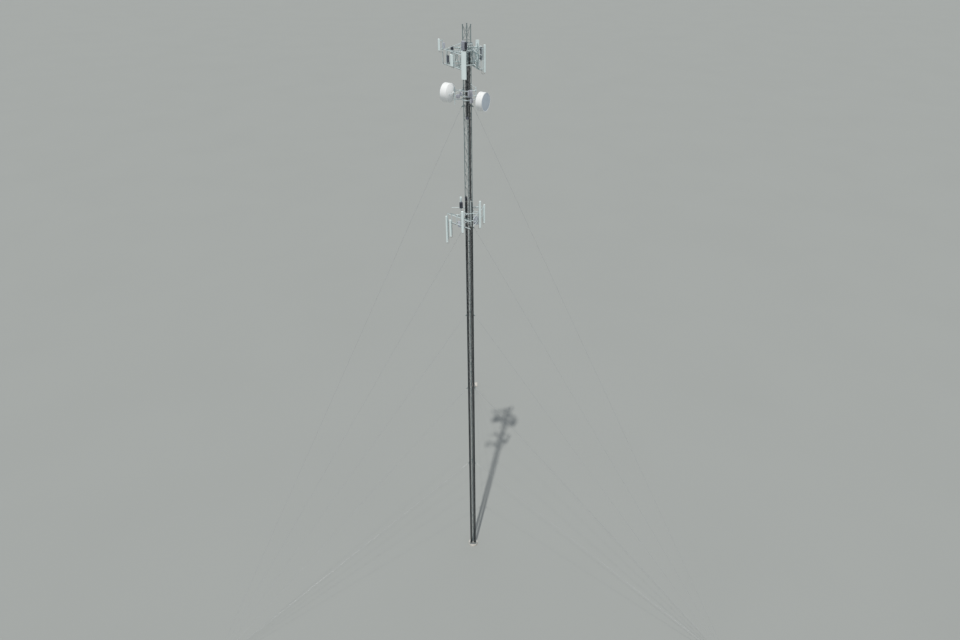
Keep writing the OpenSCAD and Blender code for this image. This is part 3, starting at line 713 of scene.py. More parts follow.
class MAST_OT_base(bpy.types.Operator):
    """Puts nuts and washers on the base plate's anchor bolts"""
    bl_idname = "mast.base"
    bl_label = "Base nuts"

    def execute(self, context):
        k = Layout(context.scene)
        form = Form()
        for a, side in [(a, side) for a in LEG_ANGLES for side in (-1, 1)]:
            foot = polar(k.leg_r + 0.068, a + side * 11, MAST_FOOT)
            form.turned(foot, UP, [(0.024, 0), (0.024, 0.004)], 20)
            for z, height in ((0.004, 0.019), (0.023, 0.012)):
                form.hex_head(foot + UP * z, UP, 0.036, height)
        form.make("base_nuts", "dark_steel", finish="bolt")
        return {"FINISHED"}


# Guys


def guy_line(k, level, angle):
    """Top lug, anchor pin and the unit vector up the wire, for one guy."""
    top = polar(k.lug_root + LUG_REACH, angle, bay_z(GUY_BAYS[level]) - LUG_DROP)
    foot = polar(k.guy.radius, angle, ANCHOR_POINT_Z)
    way = unit(top - foot)
    return top, foot + PIN_R * way, way


def wire_with_grips(form, start, end, s):
    """A strand wire: a circle along a straight line, thicker where a wrapped grip holds each end
    and easing to the wire's own radius."""
    length = np.linalg.norm(end - start)
    r, grip = s.wire_d / 2, s.grip_l
    profile = [(r * 1.9, 0), (r * 1.9, grip * 0.8), (r * 1.55, grip), (r, grip + 0.004),
               (r, length / 2), (r, length - grip - 0.004), (r * 1.55, length - grip),
               (r * 1.9, length - grip * 0.8), (r * 1.9, length)]
    form.turned(start, end - start, profile, 12)


def socket(form, top, way, side):
    """A spelter socket: a cone that widens towards the lug, and its two ears and pin."""
    r = 0.011
    form.turned(top - 0.11 * way, way, [(r * 0.55, 0), (r * 0.75, 0.01), (r, 0.05), (r, 0.082),
                                        (r * 0.8, 0.088)], 16)
    u, v, w = axes_along(way, side)
    for k in (-1, 1):
        form.block(top - 0.012 * way + k * 0.0095 * u, v, w, (0.022, 0.05, 0.004), 0.001)
    form.bolt(top + 0.0125 * u, u, 0.009, 0.025)


class MAST_OT_lugs(bpy.types.Operator):
    """Builds the clamps and lugs that hold the guy wires to the legs"""
    bl_idname = "mast.lugs"
    bl_label = "Guy lugs"

    def execute(self, context):
        k = Layout(context.scene)
        form, bolts = Form(), Form()
        for level, bay in enumerate(GUY_BAYS):
            for a in LEG_ANGLES:
                way = guy_line(k, level, a)[2]
                slope = math.asin(way[2])
                t = np.linspace(-math.pi / 2, math.pi / 2, 9) - slope
                nose = np.array([LUG_REACH, -LUG_DROP]) + 0.02 * np.stack([np.cos(t), np.sin(t)], 1)
                root = [(-CLAMP_T / 2, LUG_H / 2), (-CLAMP_T / 2, -LUG_H / 2), (0.012, -LUG_H / 2)]
                outline = np.vstack([root, nose, [(0.012, LUG_H / 2)]])
                foot = polar(k.lug_root, a, bay_z(bay)) + polar(LUG_T / 2, a + 90)
                leg_clamp(form, bolts, k, a, bay_z(bay), LUG_H)
                form.prism(outline, foot, polar(1, a), UP, LUG_T, 0.001)
        form.make("guy_lugs", "galvanised", "guy_brackets")
        bolts.make("lug_bolts", "galvanised", finish="bolt")
        return {"FINISHED"}


class MAST_OT_guys(bpy.types.Operator):
    """Builds the guy wires with their grips and sockets"""
    bl_idname = "mast.guys"
    bl_label = "Guy wires"

    def execute(self, context):
        k = Layout(context.scene)
        for name, angle in zip(SIDES, LEG_ANGLES):
            wires, sockets = Form(), Form()
            for level in range(len(GUY_BAYS)):
                top, pin, way = guy_line(k, level, angle)
                foot = pin + (FORK_GAP + k.guy.turnbuckle_l) * way
                wire_with_grips(wires, foot, top - 0.1 * way, k.guy)
                socket(sockets, top, way, polar(1, angle + 90))
            wires.make("guy_wires_" + name, "wire", "guys_" + name)
            sockets.make("guy_sockets_" + name, "galvanised", finish="bolt")
        return {"FINISHED"}


def turnbuckle(form, pin, way, side, s):
    """An open turnbuckle: two side bars between threaded bosses, a jaw and pin at the anchor, and
    a threaded rod with a lock nut at each end."""
    u, v, w = axes_along(way, side)
    foot = pin + FORK_GAP * w
    length, half = s.turnbuckle_l, s.turnbuckle_d / 2
    boss = 0.036
    for k in (-1, 1):
        bar = foot + w * length / 2 + k * (half - 0.003) * v
        form.block(bar, u, v, (0.012, 0.006, length - boss), 0.0015)
    for z in (0.06, length - boss - 0.004):
        form.turned(foot + z * w, w, [(0.0095, 0), (half, 0.004), (half, boss - 0.004), (0.0095, boss)], 16)
    for z, h in ((0.044, 0.012), (length - 0.004, 0.004)):
        form.hex_head(foot + z * w, w, 0.017, h)
    form.rod(foot, foot + 0.15 * w, 0.0055, 10)
    form.rod(foot + (length - 0.12) * w, foot + length * w, 0.0055, 10)
    form.block(foot + 0.008 * w, u, v, (0.025, 0.024, 0.016), 0.002)
    for k in (-1, 1):
        form.block(pin + 0.008 * w + k * 0.0098 * u, v, w, (0.024, 0.05, 0.0046), 0.0015)
    form.bolt(pin + 0.0122 * u, u, 0.012, 0.0244)


class MAST_OT_turnbuckles(bpy.types.Operator):
    """Builds the turnbuckles on the anchor plates"""
    bl_idname = "mast.turnbuckles"
    bl_label = "Turnbuckles"

    def execute(self, context):
        k = Layout(context.scene)
        form = Form()
        for angle, level in [(a, i) for a in LEG_ANGLES for i in range(len(GUY_BAYS))]:
            pin, way = guy_line(k, level, angle)[1:]
            turnbuckle(form, pin, way, polar(1, angle + 90), k.guy)
        form.make("open_turnbuckles", "galvanised", "turnbuckles", finish="bolt")
        return {"FINISHED"}


# Antenna arrays


class Sector:
    """A frame's place: azimuth, reach, rail length, shift and drop of its rails, its antennas as
    (place along the rail, height above the frame's middle, width, height, turn, gap), and its
    other pipes as (place, height above the middle, height of what they carry)."""

    def __init__(self, name, levels, azimuth, reach, rail_l, shift, drop, antennas, spares=()):
        self.name, self.levels, self.antennas = name, levels, antennas
        self.pipes = [(a[0], a[1], a[3]) for a in antennas] + list(spares)
        self.reach, self.rail_l, self.shift = reach, rail_l, shift
        self.rails = [z - drop for z in levels]
        self.middle = sum(self.rails) / 2
        self.out, self.along = polar(1, azimuth), polar(1, azimuth + 90)

    def point(self, out, along, z):
        """A point so far in front of the rails, so far along them and at a height."""
        return (self.reach + out) * self.out + along * self.along + UP * z

    def on_arm(self, side, x, z, y=ARM_GAP):
        """A point so far out from the mast's axis, on one side of the frame's middle, at a height."""
        return x * self.out + side * y * self.along + UP * z


def sectors(s):
    """The six frames, with the places of their antennas."""
    w, h, slim = s.panel_w, s.panel_h, s.slim_h
    top, mid, drop = TOP_LEVELS, MID_LEVELS, RAIL_DROP
    return [
        Sector("top_left", top, 211, 0.78, 2.22, 0.06, drop,
               [(1.15, -0.07, w, h, 45, GAP), (0.075, -0.014, w, 0.52, 0, GAP),
                (-1.02, 0.536, w * 0.72, 0.52, -20, WIDE_GAP)],
               [(-0.64, -0.08, 0.34)]),
        Sector("top_right", top, 18.6, 0.45, 1.51, -0.195, drop + 0.09,
               [(-0.9, 0.171, w * 0.6, h, 0, GAP + 0.02), (-0.38, 0.346, w * 0.6, 0.62, -5, GAP)],
               [(-0.57, 0.346, 0.6), (0.47, 0.0, 0.6)]),
        Sector("top_rear", top, 100, 0.9, 1.6, 0.0, drop,
               [(-0.7, 0, w * 0.75, h, 0, GAP), (-0.25, 0, w * 0.75, 0.68, 0, GAP)]),
        Sector("mid_left", mid, 230, 0.89, 1.71, 0.025, drop,
               [(0.41, 0.11, w * 0.6, h, 0, GAP), (-0.505, -0.52, w * 0.48, 1.0, 0, GAP),
                (-0.79, -0.675, w * 0.4, slim, 0, GAP)]),
        Sector("mid_right", mid, 340, 0.53, 1.71, 0.08, drop,
               [(0.09, 0.15, w * 0.44, slim, 0, SMALL_GAP),
                (0.786, -0.085, w * 0.4, 1.1, 0, SMALL_GAP)]),
        Sector("mid_rear", mid, 95, 0.75, 1.71, 0.08, drop,
               [(0.395, 0.45, w * 0.44, 0.7, 0, GAP), (-0.24, 0, w * 0.44, h, 0, GAP)]),
    ]


def frame_pipes(s, sector):
    """Rails, uprights and antenna pipes of one frame, all open pipes."""
    form = Form()
    forward, spare = PIPE_AHEAD * s.pipe_d, 0.06
    for z in sector.rails:
        ends = [sector.point(0, sector.shift + k * sector.rail_l / 2, z) for k in (-1, 1)]
        form.pipe(ends[0], ends[1], s.pipe_d / 2, s.wall)
    for side in (-1, 1):
        ends = [sector.point(0, side * ARM_GAP, z)
                for z in (sector.rails[0] - s.pipe_d, sector.levels[1] + s.pipe_d)]
        form.pipe(ends[0], ends[1], s.upright_d / 2, s.wall)
    for y, rise, height in sector.pipes:
        low = min(sector.rails[0], sector.middle + rise - SADDLE_SHARE * height) - spare
        high = max(sector.rails[1], sector.middle + rise + SADDLE_SHARE * height) + spare
        form.pipe(sector.point(forward, y, low), sector.point(forward, y, high), s.pipe_d / 2, s.wall)
    return form


def frame_clamps(s, form, sector):
    """Where an antenna pipe crosses a rail: a plate behind the rail, and a U-bolt round the pipe
    above the rail and one below it."""
    forward = PIPE_AHEAD * s.pipe_d
    for z in sector.rails:
        for y, _, _ in sector.pipes:
            plate = sector.point(-s.pipe_d / 2 - 0.003, y, z)
            form.block(plate, sector.along, UP, (0.066, 0.066, 0.005), 0.001)
            for k in (-1, 1):
                centre = sector.point(forward, y, z + k * (s.pipe_d / 2 + 0.006))
                form.u_bolt(centre, -sector.out, UP, s.pipe_d / 2 + 0.004, 0.007,
                            forward + s.pipe_d / 2 + 0.018)


# Light trusses behind the rails: where they start and end, how far behind, and if at both rails
TRUSSES = {"top_left": (-0.9, 1.05, 0.15, True), "top_right": (-0.82, 0.5, 0.11, True),
           "top_rear": (-0.75, 0.5, 0.15, True), "mid_left": (-0.72, 0.8, 0.15, False),
           "mid_rear": (-0.7, 0.25, 0.15, False)}
TIES = {"top_left": [-0.85], "top_right": [0.48], "top_rear": [0.5, -0.5]}


def back_truss(form, f, start, end, depth, both):
    """A light rail behind a frame's rails, cross pieces to them at even steps, and, where there is
    one at each level, zigzag bars between the two."""
    places = np.linspace(start, end, max(2, round((end - start) / 0.25)) + 1)
    for z in f.rails if both else f.rails[1:]:
        form.rod(f.point(-depth, start, z), f.point(-depth, end, z), 0.013, 12)
        for y in places:
            form.rod(f.point(0, y, z), f.point(-depth, y, z), 0.009, 8)
    if both:
        for i, (a, b) in enumerate(zip(places, places[1:])):
            low, high = f.rails if i % 2 else f.rails[::-1]
            form.rod(f.point(-depth, a, low), f.point(-depth, b, high), 0.01, 8)


class MAST_OT_frames(bpy.types.Operator):
    """Builds the antenna frames from open pipes, with U-bolts at their crossings"""
    bl_idname = "mast.frames"
    bl_label = "Antenna frames"

    def execute(self, context):
        k = Layout(context.scene)
        s = k.array
        clamps, trusses = Form(), Form()
        for sector in sectors(s):
            form = frame_pipes(s, sector)
            for y in TIES.get(sector.name, []):
                end = sector.point(0, y, sector.rails[1])
                angle = math.degrees(math.atan2(end[1], end[0]))
                form.rod(polar(k.ring_out, angle, TIE_LEVEL), end, 0.014, 16)
            if sector.name in TRUSSES:
                back_truss(trusses, sector, *TRUSSES[sector.name])
            frame_clamps(s, clamps, sector)
            node = sector.name.replace("_", "_frame_")
            form.make("pipes_" + sector.name, "frame_steel", node)
        clamps.make("frame_clamps", "frame_steel", finish="bolt")
        trusses.make("back_trusses", "frame_steel", finish="truss")
        return {"FINISHED"}


def collar(form, bolts, k, levels, frames, spread):
    """Rings with two arms a level for each frame, a sloping web between each pair of arms, a plate
    and U-bolt where an arm meets its upright, and side braces out to the rails where spread is
    more than 0."""
    s = k.array
    root = math.sqrt(k.ring_out ** 2 - ARM_GAP ** 2)
    for z in levels:
        ring(form, bolts, k, z)
    for f, side in [(f, side) for f in frames for side in (-1, 1)]:
        at = partial(f.on_arm, side)
        tip = f.reach - s.upright_d / 2
        form.strut(at(root + 0.03, levels[0]), at(tip - 0.03, levels[1]), 0.02)
        for z in levels:
            form.strut(at(root - 0.01, z), at(tip - 0.006, z), 0.03)
            form.block(at(tip - 0.003, z), f.along, UP, (0.066, 0.06, 0.006), 0.001)
            for rise in (-0.02, 0.02):
                bolts.u_bolt(at(f.reach, z + rise), -f.out, UP, s.upright_d / 2 + 0.004, 0.007,
                             s.upright_d / 2 + 0.016)
            if spread:
                drop = f.levels[0] - f.rails[0]
                first, last = at(root + 0.25 * (f.reach - root), z), at(f.reach, z - drop, ARM_GAP + spread)
                share = 1 - (s.pipe_d / 2) / (f.reach - root) / 0.75
                form.rod(first, first + share * (last - first), 0.012, 12)
                form.block(at(f.reach - s.pipe_d / 2 - 0.003, z - drop, ARM_GAP + spread), f.along, UP,
                           (0.05, 0.066, 0.006), 0.001)
                bolts.u_bolt(last, -f.out, f.along, s.pipe_d / 2 + 0.004, 0.007, s.pipe_d / 2 + 0.016)


class MAST_OT_collars(bpy.types.Operator):
    """Builds the rings and arms that carry the antenna frames"""
    bl_idname = "mast.collars"
    bl_label = "Array collars"

    def execute(self, context):
        k = Layout(context.scene)
        places = sectors(k.array)
        for name, levels, frames, spread in (("top", TOP_LEVELS, places[:3], 0.19),
                                             ("mid", MID_LEVELS, places[3:], 0)):
            form, bolts = Form(), Form()
            collar(form, bolts, k, levels, frames, spread)
            if name == "top":
                ring(form, bolts, k, TIE_LEVEL)
                cage = Form()
                for a in range(15, 375, 30):
                    cage.rod(polar(k.ring_in + RING_T / 2, a, levels[0]),
                             polar(k.ring_in + RING_T / 2, a, TIE_LEVEL), 0.0065, 8)
                cage.make("cage_bars", "frame_steel", finish="truss")
            form.make("collar_arms_" + name, "frame_steel", name + "_collar")
            bolts.make("collar_bolts_" + name, "frame_steel", finish="bolt")
        return {"FINISHED"}


def housing_outline(w, d, steps=12):
    """Cross-section of a panel antenna, x forward: a flat back with eased corners, straight sides
    and a front on half an ellipse."""
    ease = 0.006
    t = np.linspace(-math.pi / 2, math.pi / 2, steps)
    bow = np.stack([d * (0.45 + 0.55 * np.cos(t)), w / 2 * np.sin(t)], 1)
    return np.vstack([[(0, w / 2 - ease), (0, -w / 2 + ease), (ease, -w / 2)], bow, [(ease, w / 2)]])


def placed(sector, s, y, z, turn):
    """Origin on an antenna pipe and the axes out, along and up, turned about the pipe."""
    origin = sector.point(PIPE_AHEAD * s.pipe_d, y, z)
    a = math.radians(turn)
    out = math.cos(a) * sector.out + math.sin(a) * sector.along
    return origin, out, np.cross(UP, out)


def panel_bracket(form, s, origin, out, along, gap):
    """A clamp on the antenna pipe and two side plates to the housing's back."""
    r = s.pipe_d / 2
    for k in (-1, 1):
        form.block(origin + k * out * (r + 0.004), along, UP, (0.066, 0.034, 0.008), 0.0015)
        rod = origin + k * (r + 0.008) * along
        form.rod(rod - out * (r + 0.02), rod + out * (r + 0.014), 0.003, 8)
        for way in (-out, out):
            form.hex_head(rod + way * (r + 0.008), way, 0.0105, 0.006)
        plate = origin + out * (r + gap / 2) + k * 0.02 * along
        form.block(plate, out, UP, (gap, 0.03, 0.003), 0.0008)
    form.block(origin + out * (r + gap - 0.003), along, UP, (0.056, 0.05, 0.004), 0.001)
    form.bolt(origin + out * (r + gap * 0.5) + 0.0215 * along, along, 0.007, 0.043)


class MAST_OT_panels(bpy.types.Operator):
    """Builds the panel antennas: housings, end caps, brackets and connectors"""
    bl_idname = "mast.panels"
    bl_label = "Panel antennas"

    def execute(self, context):
        s = context.scene.array_sizes
        brackets, connectors = Form(), Form()
        cap_h, groove = 0.02, 0.0015
        for sector in sectors(s):
            form = Form()
            for y, rise, w, h, turn, gap in sector.antennas:
                origin, out, along = placed(sector, s, y, sector.middle + rise, turn)
                back = origin + out * (s.pipe_d / 2 + gap - 0.001)
                body = housing_outline(w - 0.003, s.panel_d - 0.0015)
                cap = housing_outline(w, s.panel_d)
                form.prism(body, back - UP * (h / 2 - cap_h), out, along, h - 2 * cap_h)
                form.prism(cap, back - UP * h / 2, out, along, cap_h - groove, 0.003)
                form.prism(cap, back + UP * (h / 2 - cap_h + groove), out, along, cap_h - groove, 0.003)
                for k in (-1, 1):
                    panel_bracket(brackets, s, origin + k * SADDLE_SHARE * h * UP, out, along, gap)
                count = max(2, int(round(w / 0.045)))
                for i in range(count):
                    foot = back + out * 0.04 + along * (i - (count - 1) / 2) * w * 0.8 / count - UP * h / 2
                    connectors.turned(foot, -UP, [(0.007, 0), (0.007, 0.006), (0.0055, 0.007),
                                                  (0.0055, 0.02), (0.0075, 0.021), (0.0075, 0.033),
                                                  (0.004, 0.036)], 12)
            node = sector.name.replace("_", "_panels_")
            form.make("housings_" + sector.name, "panel_white", node)
        brackets.make("panel_brackets", "frame_steel")
        connectors.make("panel_connectors", "frame_steel", finish="connector")
        return {"FINISHED"}


def radio_box(form, s, back, out, w, h):
    """A radio box on its back plane: a cast body, fins over its front and a handle on top. Fins are
    plates at even steps across the width."""
    along = np.cross(UP, out)
    d = s.radio_d
    body = 0.68 * d
    form.block(back + out * body / 2, along, out, (w, body, h), 0.006)
    pitch = w / (s.fins - 0.5)
    for i in range(s.fins):
        y = -w / 2 + (i + 0.25) * pitch
        centre = back + out * (body + d) / 2 + along * y
        form.block(centre, along, out, (pitch * 0.32, d - body + 0.004, h * 0.96), 0.0012)
    top = back + out * body * 0.5 + UP * h / 2
    for k in (-1, 1):
        form.block(top + k * w * 0.3 * along + UP * 0.008, along, UP, (0.006, 0.02, 0.01), 0.001)
    form.block(top + UP * 0.018, along, UP, (w * 0.6 + 0.006, 0.006, 0.012), 0.002)


class MAST_OT_radios(bpy.types.Operator):
    """Builds the radio boxes of both arrays and of the dishes"""
    bl_idname = "mast.radios"
    bl_label = "Radio boxes"

    def execute(self, context):
        k = Layout(context.scene)
        s, r = k.array, k.array.radio_w
        by_name = {sector.name: sector for sector in sectors(s)}
        # The dark form's radios get the near-black finish. It is partly their own dark paint and partly
        # painted shade where they stand in shade behind the rails, arms and panels.
        pale, dark, mid = Form(), Form(), Form()
        ahead = k.forward
        behind = [(pale, "top_left", -1.02, 0.485, r, 0.26, ahead),
                  (dark, "top_left", -0.64, -0.08, r, 0.34, ahead),
                  (dark, "top_rear", 0.62, 0.25, r * 0.9, 0.3, 0),
                  (mid, "mid_right", 0, -0.2, r * 1.2, 0.45, 0),
                  (dark, "mid_rear", 0.395, 0.385, r * 1.2, 0.35, 0),
                  (mid, "mid_left", 0, -0.2, r, 0.35, 0)]
        for form, name, y, rise, w, h, forward in behind:
            sector = by_name[name]
            back = sector.point(forward - s.pipe_d / 2, y, sector.middle + rise)
            radio_box(form, s, back, -sector.out, w, h)
        low, middle, high = DISH_LEVELS
        on_rings = [(pale, 239, TIE_LEVEL - 0.06, r, 0.42), (dark, 264, TIE_LEVEL - 0.06, r * 0.7, 0.34),
                    (pale, 294, middle + 0.15, r * 1.4, 0.34), (pale, 306, low - 0.02, r, 0.22),
                    (pale, 200, middle + 0.119, 0.15, 0.15), (mid, 340, MID_LEVELS[0], r, 0.45)]
        for form, angle, z, w, h in on_rings:
            radio_box(form, s, polar(k.ring_out + FIT, angle, z), polar(1, angle), w, h)
        pale.block(polar(k.ring_out + 0.002, 200, (middle + high) / 2), polar(1, 290), UP,
                   (0.05, high - middle + CLAMP_H, 0.006))
        radio_box(pale, s, np.array([-0.48, -0.036, middle - 0.026]), -BACK, 0.2, 0.18)
        sector = by_name["top_right"]
        origin, out, along = placed(sector, s, -0.57, sector.middle + 0.346, 0)
        radio_box(dark, s, origin + out * (s.pipe_d / 2 + SMALL_GAP - 0.001), out, r, 0.6)
        for side in (-1, 1):
            panel_bracket(dark, s, origin + side * SADDLE_SHARE * 0.6 * UP, out, along, SMALL_GAP)
        pale.make("radios_pale", "radio_grey", "top_radios")
        mid.make("radios_mid", "radio_grey", "mid_radios")
        # Near-black finish on these radios: their own dark paint and painted shade.
        dark.make("radios_dark", "radio_grey", finish="dark_and_shaded_casting")
        return {"FINISHED"}


class MAST_OT_whip(bpy.types.Operator):
    """Builds the whip antenna of the middle array: a tapered tube in a sleeve, in two clamps"""
    bl_idname = "mast.whip"
    bl_label = "Whip antenna"

    def execute(self, context):
        k = Layout(context.scene)
        r, length, hold, a = 0.022, 1.55, 0.03, 289
        axis = k.ring_out + FIT + hold + r
        foot = polar(axis, a, sum(MID_LEVELS) / 2 + 0.25 - length / 2)
        tube, clamps = Form(), Form()
        tube.turned(foot + UP * 0.2, UP, [(r - 0.003, 0), (r - 0.003, 0.7), (r - 0.006, length - 0.215),
                                          (r - 0.009, length - 0.203), (0.003, length - 0.2)], 24)
        clamps.turned(foot, UP, [(r - 0.004, 0), (r, 0.004), (r, 0.3), (r - 0.003, 0.306)], 24)
        clamps.turned(foot - UP * 0.03, UP, [(0.008, 0), (0.008, 0.024), (0.01, 0.025), (0.01, 0.031)], 12)
        out, side = polar(1, a), polar(1, a + 90)
        for z in MID_LEVELS:
            clamps.block(polar(k.ring_out + hold / 2, a, z), out, side, (hold, 0.05, 0.04), 0.002)
            for rise in (-0.012, 0.012):
                clamps.u_bolt(polar(axis, a, z + rise), -out, UP, r + 0.003, 0.006, r + 0.012)
        tube.make("whip_tube", "panel_white", "mid_whip")
        clamps.make("whip_clamps", "frame_steel")
        return {"FINISHED"}


# Dishes


def post_clamp(form, bolts, centre, way, r):
    """A clamp round an upright pipe, its two ears on the side the way points to."""
    form.turned(centre - UP * 0.025, UP, band(r, r + 0.008, 0.05), 32, ring=True)
    ears(form, bolts, centre + way * (r + 0.018), way, np.cross(UP, way), (0.026, 0.006, 0.05), 0.005,
         0.013, 0.008)


class MAST_OT_dish_mounts(bpy.types.Operator):
    """Builds the rings, cross pipes, posts and stays that carry the dishes"""
    bl_idname = "mast.dish_mounts"
    bl_label = "Dish mounts"

    def execute(self, context):
        k = Layout(context.scene)
        form, bolts = Form(), Form()
        post_r, low, post_l = 0.027, DISH_LEVELS[0] - 0.26, 0.86
        for z in DISH_LEVELS:
            ring(form, bolts, k, z)
        for name, (place, turn, z, azimuth) in DISH_POSTS.items():
            post, face = np.array([*place, 0.0]), polar(1, turn)
            form.pipe(post + UP * low, post + UP * (low + post_l), post_r, 0.005, 28)
            cap = [(post_r + 0.002, 0), (post_r + 0.002, 0.006), (post_r - 0.004, 0.01)]
            form.turned(post + UP * (low + post_l - 0.004), UP, cap, 28)
            away, across = polar(1, azimuth), polar(1, azimuth + 90)
            for level in DISH_LEVELS:
                outer, inner = post + UP * level, polar(k.ring_in + 0.004, azimuth, level)
                way = unit(outer - inner)
                form.pipe(inner, outer - way * (post_r + 0.004), 0.02, 0.004, 24)
                post_clamp(form, bolts, outer, way, post_r)
                form.turned(outer - way * (post_r + 0.02), way, [(0.03, 0), (0.03, 0.006)], 20)
                hold = polar(k.ring_out + 0.004, azimuth, level)
                form.block(hold, across, UP, (0.09, CLAMP_H, 0.008), 0.001)
                for side in (-0.034, 0.034):
                    bolts.bolt(hold + 0.004 * away + side * across, away, 0.008, 0.02)
            mount = post + UP * z
            for rise in (-0.045, 0.045):
                bolts.u_bolt(mount + UP * rise, face, UP, post_r + 0.005, 0.009, post_r + 0.02)
        near = np.array([*DISH_POSTS["right"][0], low + post_l - 0.04])
        leg = polar(k.leg_r, LEG_ANGLES[1], STAY_LEVEL)
        leg_clamp(form, bolts, k, LEG_ANGLES[1], STAY_LEVEL, CLAMP_H)
        form.rod(near, leg + unit(near - leg) * k.mast.leg_d / 2, 0.014, 16)
        for name, sign, azimuth, level in (("left", 1, 200, 2), ("right", 1, 15, 1)):
            place, turn, z, _ = DISH_POSTS[name]
            rear = np.array([*place, z]) + polar(0.145, turn) + sign * polar(0.33, turn + 90)
            end = polar(k.ring_out + 0.004, azimuth, DISH_LEVELS[level])
            way = unit(end - rear)
            form.rod(rear, end, 0.009, 12)
            for spot in (rear + 0.03 * way, end - 0.03 * way):
                form.rod(spot - 0.02 * way, spot + 0.02 * way, 0.013, 12)
            form.block(end, polar(1, azimuth + 90), UP, (0.05, CLAMP_H, 0.008), 0.001)
        form.make("dish_mounts", "frame_steel", "dish_frame")
        bolts.make("dish_bolts", "frame_steel", finish="bolt")
        return {"FINISHED"}


class MAST_OT_dishes(bpy.types.Operator):
    """Builds the dishes with their shrouds and radomes"""
    bl_idname = "mast.dishes"
    bl_label = "Dishes"

    def execute(self, context):
        s = context.scene.dish_sizes
        outer, hub = s.dish_d / 2, 0.08
        rim, mouth = s.back + s.depth, s.back + s.depth + s.shroud_l
        for name, (post, turn, z, _) in DISH_POSTS.items():
            foot, way = np.array([*post, z]), polar(1, turn)
            r = hub + (outer - hub) * np.arange(13) / 12
            bowl = [(a, s.back + s.depth * (a / outer) ** 2) for a in r]
            inner = [(a - (s.wall if i == 12 else 0), b + 0.006) for i, (a, b) in enumerate(bowl)]
            bead = outer + 0.004
            wall = [(outer, rim + 0.012), (bead, rim + 0.016), (bead, rim + 0.03), (outer, rim + 0.034),
                    (outer, mouth - 0.03), (bead, mouth - 0.026), (bead, mouth), (outer - s.wall, mouth)]
            profile = [(0.012, s.back - 0.03), (hub, s.back - 0.03), *bowl, *wall, *inner[::-1],
                       (0.012, s.back + 0.006)]
            form, fittings, cover = Form(), Form(), Form()
            form.turned(foot, way, profile, 96)
            form.turned(foot + way * (mouth + 0.0095), way, band(outer - 0.032, bead, 0.0065), 96, ring=True)
            u, v = axes_along(way, UP)[:2]
            fittings.block(foot + way * 0.0285, v, u, (0.13, 0.13, 0.01), 0.002)
            for a in np.radians(np.arange(0, 360, 15)):
                ray = math.cos(a) * u + math.sin(a) * v
                fittings.bolt(foot + way * (mouth - 0.013) + ray * (outer + 0.001), ray, 0.006)
                if round(math.degrees(a)) % 30 == 0:
                    hook = foot + way * (mouth + 0.002) + ray * (outer + 0.001)
                    fittings.block(hook, way, np.cross(ray, way), (0.026, 0.018, 0.003), 0.0008)
            form.make("dish_body_" + name, "dish_white", "dish_" + name)
            fittings.make("dish_fittings_" + name, "dish_white", finish="bolt")
            t = np.linspace(0, 1, 12)[::-1]
            dome = [(max(outer * a, 0.01), mouth + 0.01 + 0.012 * (1 - a * a)) for a in t[1:]]
            rim_edge = [(0.01, mouth), (outer + 0.003, mouth), (outer + 0.005, mouth + 0.003),
                        (outer + 0.002, mouth + 0.01), (outer - 0.012, mouth + 0.0105)]
            cover.turned(foot, way, rim_edge + dome, 96)
            cover.make("radome_cloth_" + name, "radome_fabric", "radome_" + name)
        return {"FINISHED"}


# Cables


def run_ends(k, side):
    """Place across the front and top of each cable of one run."""
    count = k.cable.right if side > 0 else k.cable.left
    return [(k.cable_x(side, i), CABLE_TOP if side > 0 and i >= k.cable.short else CABLE_TOP_MID)
            for i in range(count)]


class MAST_OT_cables(bpy.types.Operator):
    """Builds the feeder cables, with a plug at each end"""
    bl_idname = "mast.cables"
    bl_label = "Feeder cables"

    def execute(self, context):
        k = Layout(context.scene)
        plugs = Form()
        r = k.cable.cable_d / 2
        plug = [(0.8 * r, 0), (0.95 * r, 0.004), (0.95 * r, 0.03), (0.7 * r, 0.032), (0.7 * r, 0.05),
                (0.9 * r, 0.051), (0.9 * r, 0.068), (0.45 * r, 0.07)]
        for side, name in ((1, "right"), (-1, "left")):
            form = Form()
            for i, (x, end) in enumerate(run_ends(k, side)):
                z = np.append(np.arange(CABLE_FOOT, end, BAY_H / 2), end)
                wander = 0.0012 * np.sin(3.1 * z + 1.7 * i + side)
                path = np.stack([x + wander, k.cable_y + 0.0008 * np.cos(2.3 * z + i), z], 1)
                form.swept(path, r - 0.0006, 14, ACROSS)
                plugs.turned(path[-1], UP, plug, 14)
                plugs.turned(path[0], -UP, plug, 14)
            form.make("jackets_" + name, "cable_black", "cables_" + name)
        plugs.make("cable_plugs", "cable_black", finish="connector")
        return {"FINISHED"}


class MAST_OT_hangers(bpy.types.Operator):
    """Builds the hangers behind the cables, with a strap over each cable"""
    bl_idname = "mast.hangers"
    bl_label = "Cable hangers"

    def execute(self, context):
        k = Layout(context.scene)
        form, straps = Form(), Form()
        r, brace_r = k.cable.cable_d / 2, k.mast.brace_d / 2
        strip_y = k.cable_y + r + 0.003
        reach = k.face_y - brace_r - strip_y
        for side, bays in ((1, HANGER_BAYS["right"]), (-1, HANGER_BAYS["left"])):
            for bay in bays:
                z = level_bar_z(k, bay)
                held = [x for x, end in run_ends(k, side) if end > z]
                margin = side * k.cable.spacing / 2
                outer, inner = held[0] + margin, held[-1] - margin
                middle = np.array([(outer + inner) / 2, strip_y, z])
                form.block(middle, ACROSS, UP, (abs(outer - inner), 0.03, 0.006), 0.001)
                x = inner + side * 0.01
                form.block(np.array([x, strip_y + reach / 2, z]), ACROSS, UP, (0.02, 0.026, reach), 0.0015)
                bar = np.array([x, k.face_y, z])
                straps.u_bolt(bar, -BACK, ACROSS, brace_r + 0.003, 0.005, brace_r + 0.016)
                for x in held:
                    straps.u_bolt(np.array([x, k.cable_y, z]), BACK, UP, r + 0.0015, 0.003, r + 0.013)
        form.make("hanger_strips", "dark_steel", "cable_hangers")
        straps.make("hanger_straps", "dark_steel")
        return {"FINISHED"}


